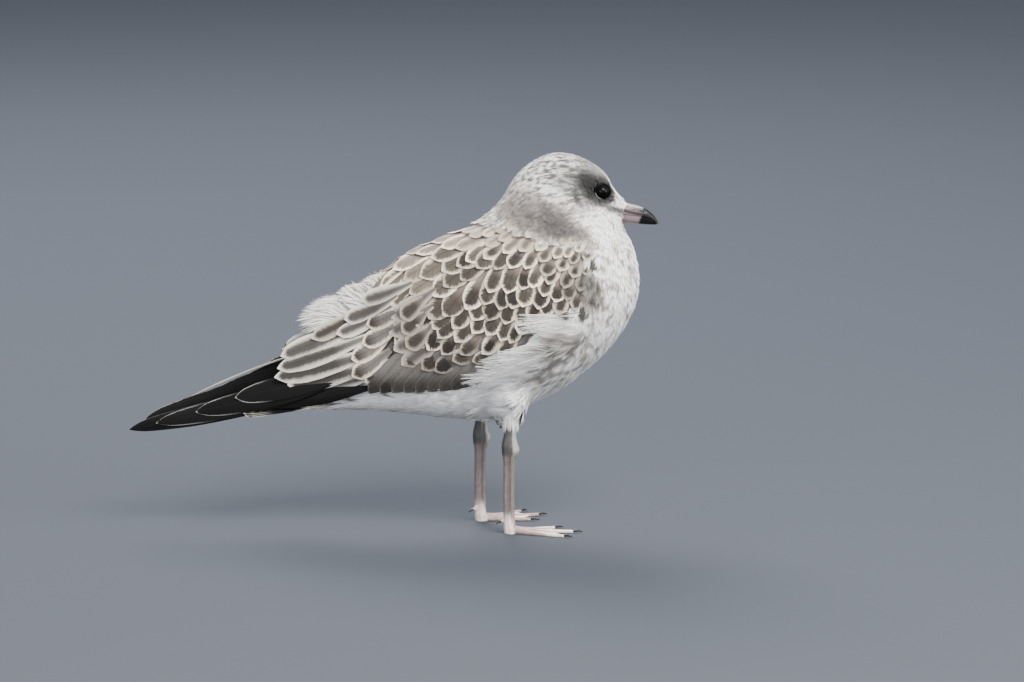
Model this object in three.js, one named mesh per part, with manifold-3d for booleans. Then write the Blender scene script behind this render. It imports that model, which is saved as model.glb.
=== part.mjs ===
// A young common gull at rest, life size: it stands on both feet with its neck drawn in and its
// wings folded over the rump, and their black tips cross beyond the tail.
// Units are millimetres. The gull faces +X, its left side is +Y, and it stands on z = 0.
// The plumage is modelled out to the tips of the feathers. The body is one loft whose sections fan
// round from the bill to the tail, parted by thin cuts into head, neck and trunk. The wings are
// inlaid in it, and the long feathers behind it are curved plates.
import * as THREE from "three";
import { mergeVertices } from "three/addons/utils/BufferGeometryUtils.js";
import Module from "manifold-3d";

const wasm = await Module();
wasm.setup();

// ---- Driving dimensions ----

const GAP = 0.3; // between neighbouring pieces
const BODY_RING = 22; // sides of a body section
const LEG_RING = 8; // sides of a leg or toe section
const CLAW_RING = 6;
const EGG_POWER = 1.35; // how fast a body section widens towards its lower end
const FULLNESS = 0.86; // 1 makes a body section an oval, less squares its back and belly

// The cuts that part the head and the neck, each by its line from the back to the throat or breast.
const HEAD_CUT = { back: [0, 243], front: [88, 203] };
const NECK_CUT = { back: [-26, 219], front: [96, 176] };

const EYE = { x: 64.6, y: 13.6, z: 241.0, radius: 5.6 };
const NOSTRIL = { x: 92.6, z: 225.6, length: 5.0, height: 1.5, pitch: 0.2 };

const WING_PROUD = 2.6; // how far the wing's lower edge stands off the flank
const WING_DEPTH = 6.5; // how deep the folded wing is let into the body

const ANKLE_Z = 61.5; // height of the ankle joint
const FOOT_TOP = 12; // height where the shank meets the foot
const TARSUS = { front: 3.5, side: 2.3 }; // half sizes of the shank's section
const ANKLE = { front: 5.4, side: 3.6 };
const TOES = [
  // length from the foot's root to the claw, spread from the middle toe in degrees (+ is outwards)
  { name: "inner", length: 33, spread: -24 },
  { name: "middle", length: 42, spread: 1 },
  { name: "outer", length: 38, spread: 25 },
];
const TOE_ROOT_X = 2; // where the toes leave the shank, from its axis
const SOLE = 0.45; // how much of the toes and the heel is flattened against the ground
const TOE_RADIUS = 2.0;
const WEB = { low: 0.5, high: 1.5, reach: 0.9, scallop: 0.8 };
const CLAW = { length: 6.5, radius: 1.1, z: 1.4, droop: 0.7 };
const HIND_TOE = { z: 9.5, length: 6.0, radius: 1.3, claw: 3.4 };

// side is the sign of Y. x and y place the ankle and toe is the foot's turn outwards in degrees.
const LEGS = [
  { name: "right", side: -1, x: 1.5, y: 21.5, turn: -4 },
  { name: "left", side: 1, x: -19.0, y: 22.5, turn: 22 },
];

// ---- Lofts ----

// Smooth values between rows of numbers, with the row's index as the place along them.
function throughRows(rows) {
  const size = rows[0].length;
  const curve = new THREE.CubicInterpolant(
    Float32Array.from(rows.keys()),
    Float32Array.from(rows.flat()),
    size,
    new Float32Array(size),
  );
  return (t) => Array.from(curve.evaluate(t));
}

// A closed geometry through rings of equal length, with a fan over each end.
function loft(rings) {
  const sides = rings[0].length;
  const middle = (ring) =>
    ring.reduce((sum, p) => sum.add(p), new THREE.Vector3()).divideScalar(sides);
  const points = [...rings.flat(), middle(rings[0]), middle(rings.at(-1))];
  const first = rings.length * sides;
  const index = [];
  for (let i = 0; i + 1 < rings.length; i++) {
    for (let j = 0; j < sides; j++) {
      const k = (j + 1) % sides;
      const [a, b] = [i * sides + j, i * sides + k];
      index.push(a, b, b + sides, a, b + sides, a + sides);
    }
  }
  const last = (rings.length - 1) * sides;
  for (let j = 0; j < sides; j++) {
    const k = (j + 1) % sides;
    index.push(first, k, j, first + 1, last + j, last + k);
  }
  const geometry = new THREE.BufferGeometry().setFromPoints(points);
  geometry.setIndex(index);
  return geometry;
}

// An oval ring about a point: `across` and `up` are its half axes as vectors.
function ovalRing(centre, across, up, sides = LEG_RING) {
  return Array.from({ length: sides }, (_, i) => {
    const angle = (2 * Math.PI * i) / sides;
    return centre
      .clone()
      .addScaledVector(across, Math.cos(angle))
      .addScaledVector(up, Math.sin(angle));
  });
}

// A tapering limb: rows hold x, y, z and two half sizes, across the limb and in its own plane.
function limb(rows, steps, sides = LEG_RING) {
  const at = throughRows(rows);
  const end = rows.length - 1;
  const rings = Array.from({ length: steps + 1 }, (_, i) => {
    const t = (end * i) / steps;
    const [x, y, z, across, upright] = at(t);
    const before = at(Math.max(0, t - 0.02));
    const after = at(Math.min(end, t + 0.02));
    const along = new THREE.Vector3(...after).sub(new THREE.Vector3(...before)).normalize();
    const side = new THREE.Vector3(-along.y, along.x, 0);
    if (side.length() < 0.2) side.set(0, 1, 0);
    side.normalize();
    const up = new THREE.Vector3().crossVectors(side, along).normalize();
    return ovalRing(
      new THREE.Vector3(x, y, z),
      side.multiplyScalar(across),
      up.multiplyScalar(upright),
      sides,
    );
  });
  return loft(rings);
}

// ---- Solids ----

function solidOf(geometry) {
  const bare = geometry.clone();
  bare.deleteAttribute("normal");
  bare.deleteAttribute("uv");
  const merged = mergeVertices(bare, 1e-4);
  const made = new wasm.Manifold(
    new wasm.Mesh({
      numProp: 3,
      vertProperties: merged.getAttribute("position").array,
      triVerts: new Uint32Array(merged.index.array),
    }),
  );
  return made.volume() > 0 ? made : solidOf(turnedOut(merged));
}

function turnedOut(geometry) {
  const index = geometry.index.array;
  for (let i = 0; i < index.length; i += 3) {
    [index[i + 1], index[i + 2]] = [index[i + 2], index[i + 1]];
  }
  return geometry;
}

function geometryOf(solid) {
  const mesh = solid.getMesh();
  const geometry = new THREE.BufferGeometry();
  geometry.setAttribute("position", new THREE.BufferAttribute(mesh.vertProperties, 3));
  geometry.setIndex(new THREE.BufferAttribute(mesh.triVerts, 1));
  const flat = geometry.toNonIndexed();
  flat.computeVertexNormals();
  return flat;
}

// The largest body of a solid, so that no crumb of a cut is kept.
function mainBody(solid) {
  return solid.decompose().reduce((a, b) => (b.volume() > a.volume() ? b : a));
}

function without(solid, ...others) {
  return mainBody(others.reduce((left, other) => left.subtract(other), solid));
}

function boxSolid(low, high) {
  const size = high.map((v, i) => v - low[i]);
  const centre = high.map((v, i) => (v + low[i]) / 2);
  return solidOf(new THREE.BoxGeometry(...size).translate(...centre));
}

// Everything on the rear side of a cut's line, moved forwards by ahead.
function rearOf(cut, ahead = 0) {
  const [from, to] = [cut.back, cut.front].map(([x, z]) => new THREE.Vector2(x, z));
  const line = to.sub(from);
  const box = new THREE.BoxGeometry(400, 300, 400).translate(200, 0, -200);
  box.rotateY(-line.angle());
  const forwards = new THREE.Vector2(-line.y, line.x).setLength(ahead);
  box.translate(from.x - line.x + forwards.x, 0, from.y - line.y + forwards.y);
  return solidOf(box);
}

// ---- Body ----

// Each row is one section: it runs from a point on the back line to one on the breast and belly
// line, and holds the half widths that its upper and lower halves tend to.
const BODY_STATIONS = [
  // back x, z, front x, z, upper, lower
  [83.2, 229.4, 79.4, 215.2, 5.4, 4.8], // bill base
  [77.8, 236.2, 79.8, 212.6, 10.2, 8.6], // lores
  [66.6, 252.6, 81.8, 209.2, 15.2, 14.0], // brow
  [50.0, 263.2, 84.8, 204.4, 18.4, 20.5], // forecrown
  [32.5, 266.2, 87.8, 197.6, 20.2, 28.5], // crown
  [16.6, 260.0, 90.2, 188.0, 21.6, 38.0], // hind crown
  [4.0, 248.4, 91.4, 176.6, 24.0, 48.5], // nape
  [-7.0, 230.4, 90.0, 163.0, 29.5, 54.0], // hind neck
  [-24.0, 216.6, 81.4, 143.0, 36.0, 55.0], // mantle
  [-49.0, 205.4, 63.0, 120.6, 39.0, 52.0], // back
  [-73.0, 193.8, 38.0, 100.4, 37.0, 47.0], // scapulars
  [-92.0, 177.0, 6.0, 86.0, 31.0, 40.5], // lower back
  [-105.0, 156.0, -32.0, 78.4, 23.5, 32.0], // rump
  [-117.0, 135.0, -70.0, 82.6, 15.5, 22.5], // vent
  [-131.0, 115.0, -106.0, 85.2, 9.5, 15.0], // upper tail coverts
  [-148.0, 98.0, -138.0, 84.6, 6.0, 10.0], // tail root
];
const bodyAt = throughRows(BODY_STATIONS);
const TAIL_ROOT = BODY_STATIONS.length - 1;
const BODY_STEPS = 34; // sections along the whole body

// One body section. grow moves it outwards, less at its upper end where taper is 1.
function bodyRing(t, grow = 0, taper = 0) {
  const [backX, backZ, frontX, frontZ, upper, lower] = bodyAt(t);
  const along = new THREE.Vector2(frontX - backX, frontZ - backZ);
  const half = along.length() / 2;
  along.normalize();
  return Array.from({ length: BODY_RING }, (_, i) => {
    const angle = (2 * Math.PI * i) / BODY_RING;
    const share = (1 - Math.cos(angle)) / 2; // 0 on the back, 1 on the belly
    const more = grow * (1 - taper * (1 - share));
    const reach = half - (half + more) * Math.cos(angle);
    const width = THREE.MathUtils.lerp(upper, lower, share ** EGG_POWER) + more;
    return new THREE.Vector3(
      backX + along.x * reach,
      width * Math.sign(Math.sin(angle)) * Math.abs(Math.sin(angle)) ** FULLNESS,
      backZ + along.y * reach,
    );
  });
}

// The whole body as one solid, with `steps` sections between the bill and the tail root.
function bodyPiece(steps, grow = 0, taper = 0) {
  const place = (i) => (TAIL_ROOT * i) / steps;
  const rings = Array.from({ length: steps + 1 }, (_, i) => bodyRing(place(i), grow, taper));
  return solidOf(loft(rings));
}

// ---- Plates: folded feathers that lie over each other as one curved sheet ----

// Rows hold x, the upper edge's y and z, the lower edge's y and z, the bulge and the thickness.
// side is the sign of Y, and grow makes the plate larger all round.
function plate(rows, side, steps, grow = 0) {
  const at = throughRows(rows);
  const across = 5;
  const end = rows.length - 1;
  const rings = Array.from({ length: steps + 1 }, (_, i) => {
    const t = (end * i) / steps;
    const [x, topY, topZ, lowY, lowZ, bulge, thick] = at(t);
    const along = new THREE.Vector2(lowY - topY, lowZ - topZ);
    const length = along.length();
    along.normalize();
    const out = new THREE.Vector2(-along.y, along.x); // away from the body
    const point = (share, depth) => {
      const arch = bulge * 4 * share * (1 - share);
      const reach = share * (length + 2 * grow) - grow;
      const push = arch - depth;
      return new THREE.Vector3(
        x,
        side * (topY + along.x * reach + out.x * push),
        topZ + along.y * reach + out.y * push,
      );
    };
    const shares = Array.from({ length: across + 1 }, (_, j) => j / across);
    const outer = shares.map((s) => point(s, -grow));
    const inner = shares.reverse().map((s) => point(s, thick + grow));
    return [...outer, ...inner];
  });
  return solidOf(loft(rings));
}

const TERTIALS = [
  [-70, 5, 164, 28, 114, 0, 2],
  [-90, 4.5, 168, 30, 108, 4.5, 1.9],
  [-106, 4, 161.5, 29, 103.5, 6, 1.8],
  [-122, 3.5, 151.5, 26.5, 101, 6, 1.7],
  [-141, 4, 137.5, 23, 99.5, 4.5, 1.5],
  [-154, 6, 126.5, 20, 101, 2.5, 1.3],
  [-162, 9, 119, 16.5, 103.5, 1, 1.0],
];
const RIGHT_PRIMARIES = [
  [-94, 17, 126, 30, 106, 2, 1.5],
  [-125, 12, 122, 27, 98.5, 2, 1.5],
  [-160, 6, 114.5, 21.5, 91.5, 2, 1.4],
  [-190, 2.5, 101, 15, 83.4, 1.5, 1.3],
  [-217, 0.5, 88.2, 9, 77.6, 1, 1.2],
  [-245, 0, 77, 5, 71.2, 0.5, 1],
  [-265, 1, 69, 2.4, 67, 0, 0.8],
];
const LEFT_PRIMARIES = [
  [-94, 17, 130, 30, 106, 2, 1.5],
  [-125, 9, 132, 27, 98.5, 3, 1.5],
  [-160, 1, 122, 21.5, 92, 3, 1.4],
  [-190, -1, 107.6, 15, 84.5, 2, 1.3],
  [-217, -1.6, 94.8, 9, 81.5, 1.2, 1.2],
  [-240, -1.5, 84, 5, 78.6, 0.6, 1],
  [-254, 0, 78, 2.4, 76, 0, 0.8],
];
// The tail is a plate that lies flat: its upper edge is the middle line of the gull.
const TAIL = [
  [-118, 0, 94, 12, 93.5, 0, 3],
  [-150, 0, 92, 17, 91.2, 0.6, 2],
  [-175, 0, 87.4, 20.5, 86.2, 0.8, 1.5],
  [-189, 0, 84, 22, 82.8, 0.8, 1],
];

// The loose down of the lower back, which stands up between the two wings.
const DOWN = [
  // x, y, z, half width, half height
  [-148, -1, 136.5, 2.5, 2],
  [-140, -2, 144.5, 6, 6.5],
  [-128, -2, 153, 7.5, 7],
  [-115, -2, 160, 7.5, 6],
  [-102, -2, 168, 7, 4],
  [-95, -1, 172, 4, 2],
];

// ---- Wings ----

// The folded wing's outline from the side, from its bend backwards along the top.
const WING_OUTLINE = [
  [62, 186],
  [30, 190],
  [-20, 171],
  [-70, 150],
  [-100, 134],
  [-106, 116],
  [-94, 104.5],
  [-60, 104],
  [-18, 109],
  [24, 121],
  [52, 141],
  [65, 166],
];

function wingPrism(side, grow = 0) {
  const centre = new THREE.Vector2(-20, 145);
  const points = WING_OUTLINE.map(([x, z]) => {
    const p = new THREE.Vector2(x, z);
    return p.add(p.clone().sub(centre).setLength(grow));
  });
  const outline = new THREE.Shape(new THREE.SplineCurve([...points, points[0]]).getPoints(28));
  const geometry = new THREE.ExtrudeGeometry(outline, { depth: 62, bevelEnabled: false });
  geometry.rotateX(Math.PI / 2); // the outline now stands in XZ and its depth runs to -Y
  if (side > 0) geometry.translate(0, 62 + 18, 0);
  else geometry.translate(0, -18, 0);
  return solidOf(geometry);
}

// ---- Head ----

const UPPER_BILL = [
  // x, z of the ridge, z of the cutting edge, half width
  [82.2, 229.9, 221.8, 5.6],
  [87.0, 229.6, 221.6, 4.9],
  [92.5, 228.6, 221.2, 4.2],
  [97.5, 226.2, 220.4, 3.5],
  [102.0, 222.2, 218.4, 2.5],
  [105.2, 217.2, 215.8, 1.0],
];
const LOWER_BILL = [
  [81.2, 221.3, 214.8, 4.9],
  [86.5, 221.2, 214.9, 4.1],
  [91.5, 220.8, 215.3, 3.3],
  [96.5, 220.0, 216.2, 2.5],
  [101.6, 218.0, 217.0, 1.0],
];

function mandible(rows, grow = 0) {
  const at = throughRows(rows);
  const steps = 6;
  const rings = Array.from({ length: steps + 1 }, (_, i) => {
    const [x, top, bottom, half] = at(((rows.length - 1) * i) / steps);
    return ovalRing(
      new THREE.Vector3(x, 0, (top + bottom) / 2),
      new THREE.Vector3(0, half + grow, 0),
      new THREE.Vector3(0, 0, (top - bottom) / 2 + grow),
      8,
    );
  });
  return solidOf(loft(rings));
}

function nostrilSlot() {
  const slot = new THREE.CylinderGeometry(1, 1, 30, 12);
  slot.scale(NOSTRIL.length / 2, 1, NOSTRIL.height / 2);
  slot.rotateY(NOSTRIL.pitch);
  slot.translate(NOSTRIL.x, 0, NOSTRIL.z);
  return solidOf(slot);
}

function eyeBall(side, grow = 0) {
  const ball = new THREE.SphereGeometry(EYE.radius + grow, 12, 8);
  ball.translate(EYE.x, side * EYE.y, EYE.z);
  return solidOf(ball);
}

// ---- Legs ----

// The feathered thigh, which comes out of the belly and ends above the ankle.
function thigh(leg, grow = 0) {
  const y = leg.side * leg.y;
  return solidOf(
    limb(
      [
        [leg.x - 2, y * 0.96, 104, 14 + grow, 17 + grow],
        [leg.x - 0.5, y, 92, 11.5 + grow, 14 + grow],
        [leg.x + 0.3, y, 82, 8 + grow, 10 + grow],
        [leg.x + 0.5, y, 74.5 - grow, 5.2 + grow, 7 + grow],
      ],
      5,
    ),
  );
}

// The bare shank from inside the thigh's feathers through the ankle to the foot's root.
function shank(leg) {
  const y = leg.side * leg.y;
  return solidOf(
    limb(
      [
        [leg.x + 0.3, y, 84, 2.6, 3.4],
        [leg.x, y, 72, 2.8, 3.7],
        [leg.x - 0.4, y, ANKLE_Z + 4, ANKLE.side - 0.3, ANKLE.front - 0.6],
        [leg.x - 0.3, y, ANKLE_Z - 2, ANKLE.side, ANKLE.front],
        [leg.x - 0.6, y, ANKLE_Z - 10, TARSUS.side + 0.4, TARSUS.front + 0.3],
        [leg.x - 0.9, y, ANKLE_Z - 24, TARSUS.side, TARSUS.front],
        [leg.x - 1.0, y, 22, TARSUS.side, TARSUS.front],
        [leg.x - 0.6, y, 10, TARSUS.side + 0.4, TARSUS.front + 0.3],
        [leg.x, y, 5.4, TARSUS.side + 0.9, TARSUS.front + 0.5],
      ],
      12,
    ),
  );
}

// The socket in a thigh's feathers for the top of the shank.
function shankSocket(leg) {
  const y = leg.side * leg.y;
  return solidOf(
    limb(
      [
        [leg.x + 0.3, y, 84 + GAP, 2.6 + GAP, 3.4 + GAP],
        [leg.x, y, 72, 2.8 + GAP, 3.7 + GAP],
        [leg.x, y, 66, 3.6 + GAP, 5 + GAP],
      ],
      6,
    ),
  );
}

// A place in the foot's own frame, x forwards and y outwards, put where that foot stands.
function onFoot(leg, x, y, z) {
  const turn = THREE.MathUtils.degToRad(leg.turn);
  return new THREE.Vector3(
    leg.x + x * Math.cos(turn) - y * Math.sin(turn),
    leg.side * (leg.y + x * Math.sin(turn) + y * Math.cos(turn)),
    z,
  );
}

// A point along a toe, with its length share from 0 at the root to 1 at the claw.
function alongToe(leg, toe, share, z) {
  const angle = THREE.MathUtils.degToRad(toe.spread);
  const reach = toe.length * share;
  return onFoot(leg, TOE_ROOT_X + reach * Math.cos(angle), reach * Math.sin(angle), z);
}

function toeSolid(leg, toe) {
  const rows = [
    // share of its length, half width and half height
    [0, TOE_RADIUS * 1.25, TOE_RADIUS * 1.5],
    [0.2, TOE_RADIUS, TOE_RADIUS * 1.1],
    [0.45, TOE_RADIUS * 0.82, TOE_RADIUS * 0.8],
    [0.7, TOE_RADIUS * 0.78, TOE_RADIUS * 0.72],
    [1, TOE_RADIUS * 0.62, TOE_RADIUS * 0.6],
  ].map(([share, across, upright]) => [
    ...alongToe(leg, toe, share, upright - SOLE).toArray(),
    across,
    upright,
  ]);
  return solidOf(limb(rows, 4));
}

// The web spans the three toes with a hollow edge between each two.
function webSolid(leg) {
  const flat = (share, toe) => alongToe(leg, toe, share, 0);
  const [inner, middle, outer] = TOES;
  const edge = (from, to) => {
    const a = flat(WEB.reach, from);
    const b = flat(WEB.reach, to);
    const root = flat(0, middle);
    const hollow = a.clone().add(b).divideScalar(2).sub(root).multiplyScalar(WEB.scallop).add(root);
    return new THREE.QuadraticBezierCurve3(a, hollow, b).getPoints(4);
  };
  const points = [flat(-0.04, middle), ...edge(inner, middle), ...edge(middle, outer).slice(1)];
  const outline = new THREE.Shape(points.map((p) => new THREE.Vector2(p.x, p.y)));
  const depth = WEB.high - WEB.low;
  const geometry = new THREE.ExtrudeGeometry(outline, { depth, bevelEnabled: false });
  return solidOf(geometry.translate(0, 0, WEB.low));
}

// The small hind toe sits on the back of the shank, clear of the ground.
function hindToe(leg) {
  return solidOf(
    limb(
      [
        [...onFoot(leg, -1.5, 0, HIND_TOE.z + 0.6).toArray(), 1.6, 1.6],
        [...onFoot(leg, -4.4, -0.3, HIND_TOE.z).toArray(), HIND_TOE.radius, HIND_TOE.radius],
        [...onFoot(leg, -HIND_TOE.length, -0.4, HIND_TOE.z - 1).toArray(), 0.9, 0.9],
      ],
      2,
    ),
  );
}

function footSolid(leg) {
  const root = solidOf(
    limb(
      [
        [...onFoot(leg, -0.9, 0, FOOT_TOP).toArray(), TARSUS.side + 0.3, TARSUS.front + 0.1],
        [...onFoot(leg, -0.4, 0, 6).toArray(), TARSUS.side + 1.2, TARSUS.front + 0.6],
        [...onFoot(leg, 0.4, 0, -SOLE).toArray(), TARSUS.side + 1.5, TARSUS.front + 1.1],
      ],
      2,
    ),
  );
  const whole = TOES.map((toe) => toeSolid(leg, toe)).reduce(
    (sum, toe) => sum.add(toe),
    root.add(webSolid(leg)).add(hindToe(leg)),
  );
  const ground = boxSolid([-100, -100, 0], [100, 100, 60]);
  return mainBody(whole.intersect(ground));
}

function claw(leg, toe) {
  const [start, mid, tip] = [0, 0.5, 1].map((share) =>
    alongToe(leg, toe, 1 + (CLAW.length * share + GAP) / toe.length, 0),
  );
  return solidOf(
    limb(
      [
        [start.x, start.y, CLAW.z, CLAW.radius, CLAW.radius],
        [mid.x, mid.y, CLAW.z + 0.3, CLAW.radius * 0.75, CLAW.radius * 0.85],
        [tip.x, tip.y, CLAW.z - CLAW.droop, 0.3, 0.35],
      ],
      4,
      CLAW_RING,
    ),
  );
}

function hindClaw(leg) {
  const at = (share, z) =>
    onFoot(leg, -HIND_TOE.length - GAP - HIND_TOE.claw * share, -0.4, z).toArray();
  return solidOf(
    limb(
      [
        [...at(0, HIND_TOE.z - 1), 0.95, 0.95],
        [...at(0.55, HIND_TOE.z - 1.3), 0.7, 0.7],
        [...at(1, HIND_TOE.z - 2.6), 0.3, 0.3],
      ],
      3,
      CLAW_RING,
    ),
  );
}

// ---- Colours ----

const COAT_WHITE = new THREE.MeshStandardMaterial({ color: "#dcdcdb", roughness: 0.9 });
const COAT_HEAD = new THREE.MeshStandardMaterial({ color: "#cfcdcb", roughness: 0.9 });
const COAT_WING = new THREE.MeshStandardMaterial({ color: "#7d766f", roughness: 0.85 });
const COAT_TERTIAL = new THREE.MeshStandardMaterial({ color: "#a09a94", roughness: 0.85 });
const FLIGHT_BLACK = new THREE.MeshStandardMaterial({ color: "#2b2b2c", roughness: 0.6 });
const BILL_PINK = new THREE.MeshStandardMaterial({ color: "#b9a3a4", roughness: 0.45 });
const EYE_DARK = new THREE.MeshStandardMaterial({ color: "#14110f", roughness: 0.08 });
const LEG_PINK = new THREE.MeshStandardMaterial({ color: "#a2918f", roughness: 0.6 });
const CLAW_DARK = new THREE.MeshStandardMaterial({ color: "#303032", roughness: 0.4 });

// ---- The gull ----

const gull = new THREE.Group();

function addPiece(name, solid, material) {
  const mesh = new THREE.Mesh(geometryOf(solid), material);
  mesh.name = name;
  gull.add(mesh);
}

const SIDES = { right: -1, left: 1 };
const tailSolid = (grow = 0) =>
  plate(TAIL, SIDES.left, 5, grow).add(plate(TAIL, SIDES.right, 5, grow));
const tailSpace = tailSolid(GAP);
const tertials = {};
const tertialSpaces = [];
const wings = {};
const primaries = {};
const carved = [];
const body = bodyPiece(BODY_STEPS);
const bodyGrown = bodyPiece(BODY_STEPS, GAP);
const innerBody = bodyPiece(BODY_STEPS, -WING_DEPTH);
const innerGrown = bodyPiece(BODY_STEPS, -WING_DEPTH - GAP);
const wingHull = bodyPiece(BODY_STEPS, WING_PROUD, 1);
const hullGrown = bodyPiece(BODY_STEPS, WING_PROUD + GAP, 1);
for (const [name, side] of Object.entries(SIDES)) {
  const rows = side < 0 ? RIGHT_PRIMARIES : LEFT_PRIMARIES;
  const wingSpace = wingPrism(side, GAP);
  const tertialSpace = plate(TERTIALS, side, 8, GAP);
  const wingGrown = wingSpace.intersect(hullGrown).subtract(innerGrown);
  wings[name] = without(wingPrism(side).intersect(wingHull), innerBody);
  tertials[name] = without(plate(TERTIALS, side, 8), bodyGrown, wingGrown);
  primaries[name] = without(plate(rows, side, 10), bodyGrown, wingGrown, tertialSpace, tailSpace);
  tertialSpaces.push(tertialSpace);
  carved.push(wingSpace.subtract(innerGrown));
}

addPiece("tail", without(tailSolid(), bodyGrown), FLIGHT_BLACK);
addPiece("down", without(solidOf(limb(DOWN, 7)), bodyGrown, ...tertialSpaces), COAT_WHITE);
for (const name of Object.keys(SIDES)) {
  addPiece(`primaries_${name}`, primaries[name], FLIGHT_BLACK);
  addPiece(`tertials_${name}`, tertials[name], COAT_TERTIAL);
  addPiece(`wing_${name}`, wings[name], COAT_WING);
}

const eyesGrown = Object.values(SIDES).map((side) => eyeBall(side, GAP));
const billGrown = [mandible(UPPER_BILL, GAP), mandible(LOWER_BILL, GAP)];
const thighsGrown = LEGS.map((leg) => thigh(leg, GAP));
const head = body.subtract(rearOf(HEAD_CUT, GAP));
const neck = body.intersect(rearOf(HEAD_CUT)).subtract(rearOf(NECK_CUT, GAP));
const trunk = body.intersect(rearOf(NECK_CUT));
addPiece("head", without(head, ...eyesGrown, ...billGrown), COAT_HEAD);
addPiece("neck", without(neck, ...carved), COAT_WHITE);
addPiece("trunk", without(trunk, ...carved, ...thighsGrown), COAT_WHITE);

addPiece("bill_upper", without(mandible(UPPER_BILL), nostrilSlot()), BILL_PINK);
addPiece("bill_lower", without(mandible(LOWER_BILL), mandible(UPPER_BILL, GAP)), BILL_PINK);
for (const [name, side] of Object.entries(SIDES)) {
  addPiece(`eye_${name}`, eyeBall(side), EYE_DARK);
}

const footSpace = boxSolid([-100, -100, -1], [100, 100, FOOT_TOP + GAP]);
for (const leg of LEGS) {
  const foot = footSolid(leg);
  addPiece(`thigh_${leg.name}`, without(thigh(leg), shankSocket(leg)), COAT_WHITE);
  addPiece(`shank_${leg.name}`, without(shank(leg), footSpace), LEG_PINK);
  addPiece(`foot_${leg.name}`, foot, LEG_PINK);
  for (const toe of TOES) {
    addPiece(`claw_${leg.name}_${toe.name}`, without(claw(leg, toe), foot), CLAW_DARK);
  }
  addPiece(`claw_${leg.name}_hind`, without(hindClaw(leg), foot), CLAW_DARK);
}

// The origin is the middle of the bounding box's floor.
const bounds = new THREE.Box3().setFromObject(gull);
const middle = bounds.getCenter(new THREE.Vector3());
gull.position.set(-middle.x, -middle.y, -bounds.min.z);

export default gull;
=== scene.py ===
"""A young common gull at rest, life size and still.

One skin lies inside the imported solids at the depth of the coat. Its plumage is laid over it feather
by feather, in thin closed vanes that follow the lie of the coat, with the long wing and tail
feathers each a vane of its own. Bill, eyes and claws are separate pieces.
Places are millimetres in the gull's own frame (it faces +X, its left is +Y and it stands on z = 0)
until a mesh is made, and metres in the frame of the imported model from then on.
"""
import logging
import math
from contextlib import contextmanager
from dataclasses import dataclass, field, replace
from itertools import product
from typing import Any, Callable, Iterator, Sequence

import bpy
import numpy as np
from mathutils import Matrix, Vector
from mathutils.bvhtree import BVHTree


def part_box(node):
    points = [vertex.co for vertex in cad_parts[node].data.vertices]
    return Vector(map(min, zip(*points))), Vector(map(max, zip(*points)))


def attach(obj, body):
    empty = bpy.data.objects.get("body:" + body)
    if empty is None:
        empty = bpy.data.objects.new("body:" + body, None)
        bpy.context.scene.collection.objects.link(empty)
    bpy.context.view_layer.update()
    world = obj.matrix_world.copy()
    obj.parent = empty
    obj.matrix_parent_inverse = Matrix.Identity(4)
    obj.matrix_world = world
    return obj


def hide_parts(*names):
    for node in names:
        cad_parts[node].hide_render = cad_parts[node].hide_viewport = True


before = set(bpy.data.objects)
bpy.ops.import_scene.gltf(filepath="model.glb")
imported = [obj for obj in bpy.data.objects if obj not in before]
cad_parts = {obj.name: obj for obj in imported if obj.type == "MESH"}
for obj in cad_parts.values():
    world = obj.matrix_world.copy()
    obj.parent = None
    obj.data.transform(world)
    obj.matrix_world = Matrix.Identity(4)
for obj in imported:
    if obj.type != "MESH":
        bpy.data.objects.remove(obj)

log = logging.getLogger("gull")
Array = np.ndarray
Rng = np.random.Generator
Thing = bpy.types.Object
Place = tuple[float, float, float]
Spot = tuple[float, float]  # X and Z, seen from the side
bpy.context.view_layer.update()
MM = 0.001
BODY = "root"
SEED = 20


# ---- Small tools ----


def shade(code: str) -> Array:
    """The values from 0 to 1 that a hex colour shows."""
    return np.array([int(code[i : i + 2], 16) / 255 for i in (1, 3, 5)])


# What the studio's lamps and the film make of a matt reflectance: the value that it shows as.
SHOWN = (0.0, 0.15, 0.2, 0.267, 0.38, 0.52, 0.65, 0.76, 0.831, 0.878, 1.0)
REFLECTED = (0.001, 0.004, 0.008, 0.015, 0.03, 0.06, 0.12, 0.24, 0.45, 0.7, 0.88)


def reflectance(values: Array) -> Array:
    """Turns the values that a colour should show in the studio to reflectances."""
    return np.exp(np.interp(values, SHOWN, np.log(REFLECTED)))


def ink(code: str) -> Array:
    """The reflectances of a hex colour."""
    return reflectance(shade(code))


def mixed(a: Array, b: Array, share: Array | float) -> Array:
    """Blends colours or places, with the share of b."""
    share = np.asarray(share, float)
    share = share[..., None] if share.ndim else share
    return a * (1 - share) + b * share


def eased(low: float, high: float, value: Array) -> Array:
    """A smooth step from 0 at low to 1 at high."""
    t = np.clip((value - low) / (high - low), 0, 1)
    return t * t * (3 - 2 * t)


def unit(vectors: Array) -> Array:
    """Vectors at length 1."""
    size = np.linalg.norm(vectors, axis=-1, keepdims=True)
    return vectors / np.maximum(size, 1e-9)


def mirrored(places: Array) -> Array:
    """Places with their Y folded to the left side, so that both sides read one marking."""
    return places * (1, 0, 1) + np.abs(places) * (0, 1, 0)


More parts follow.
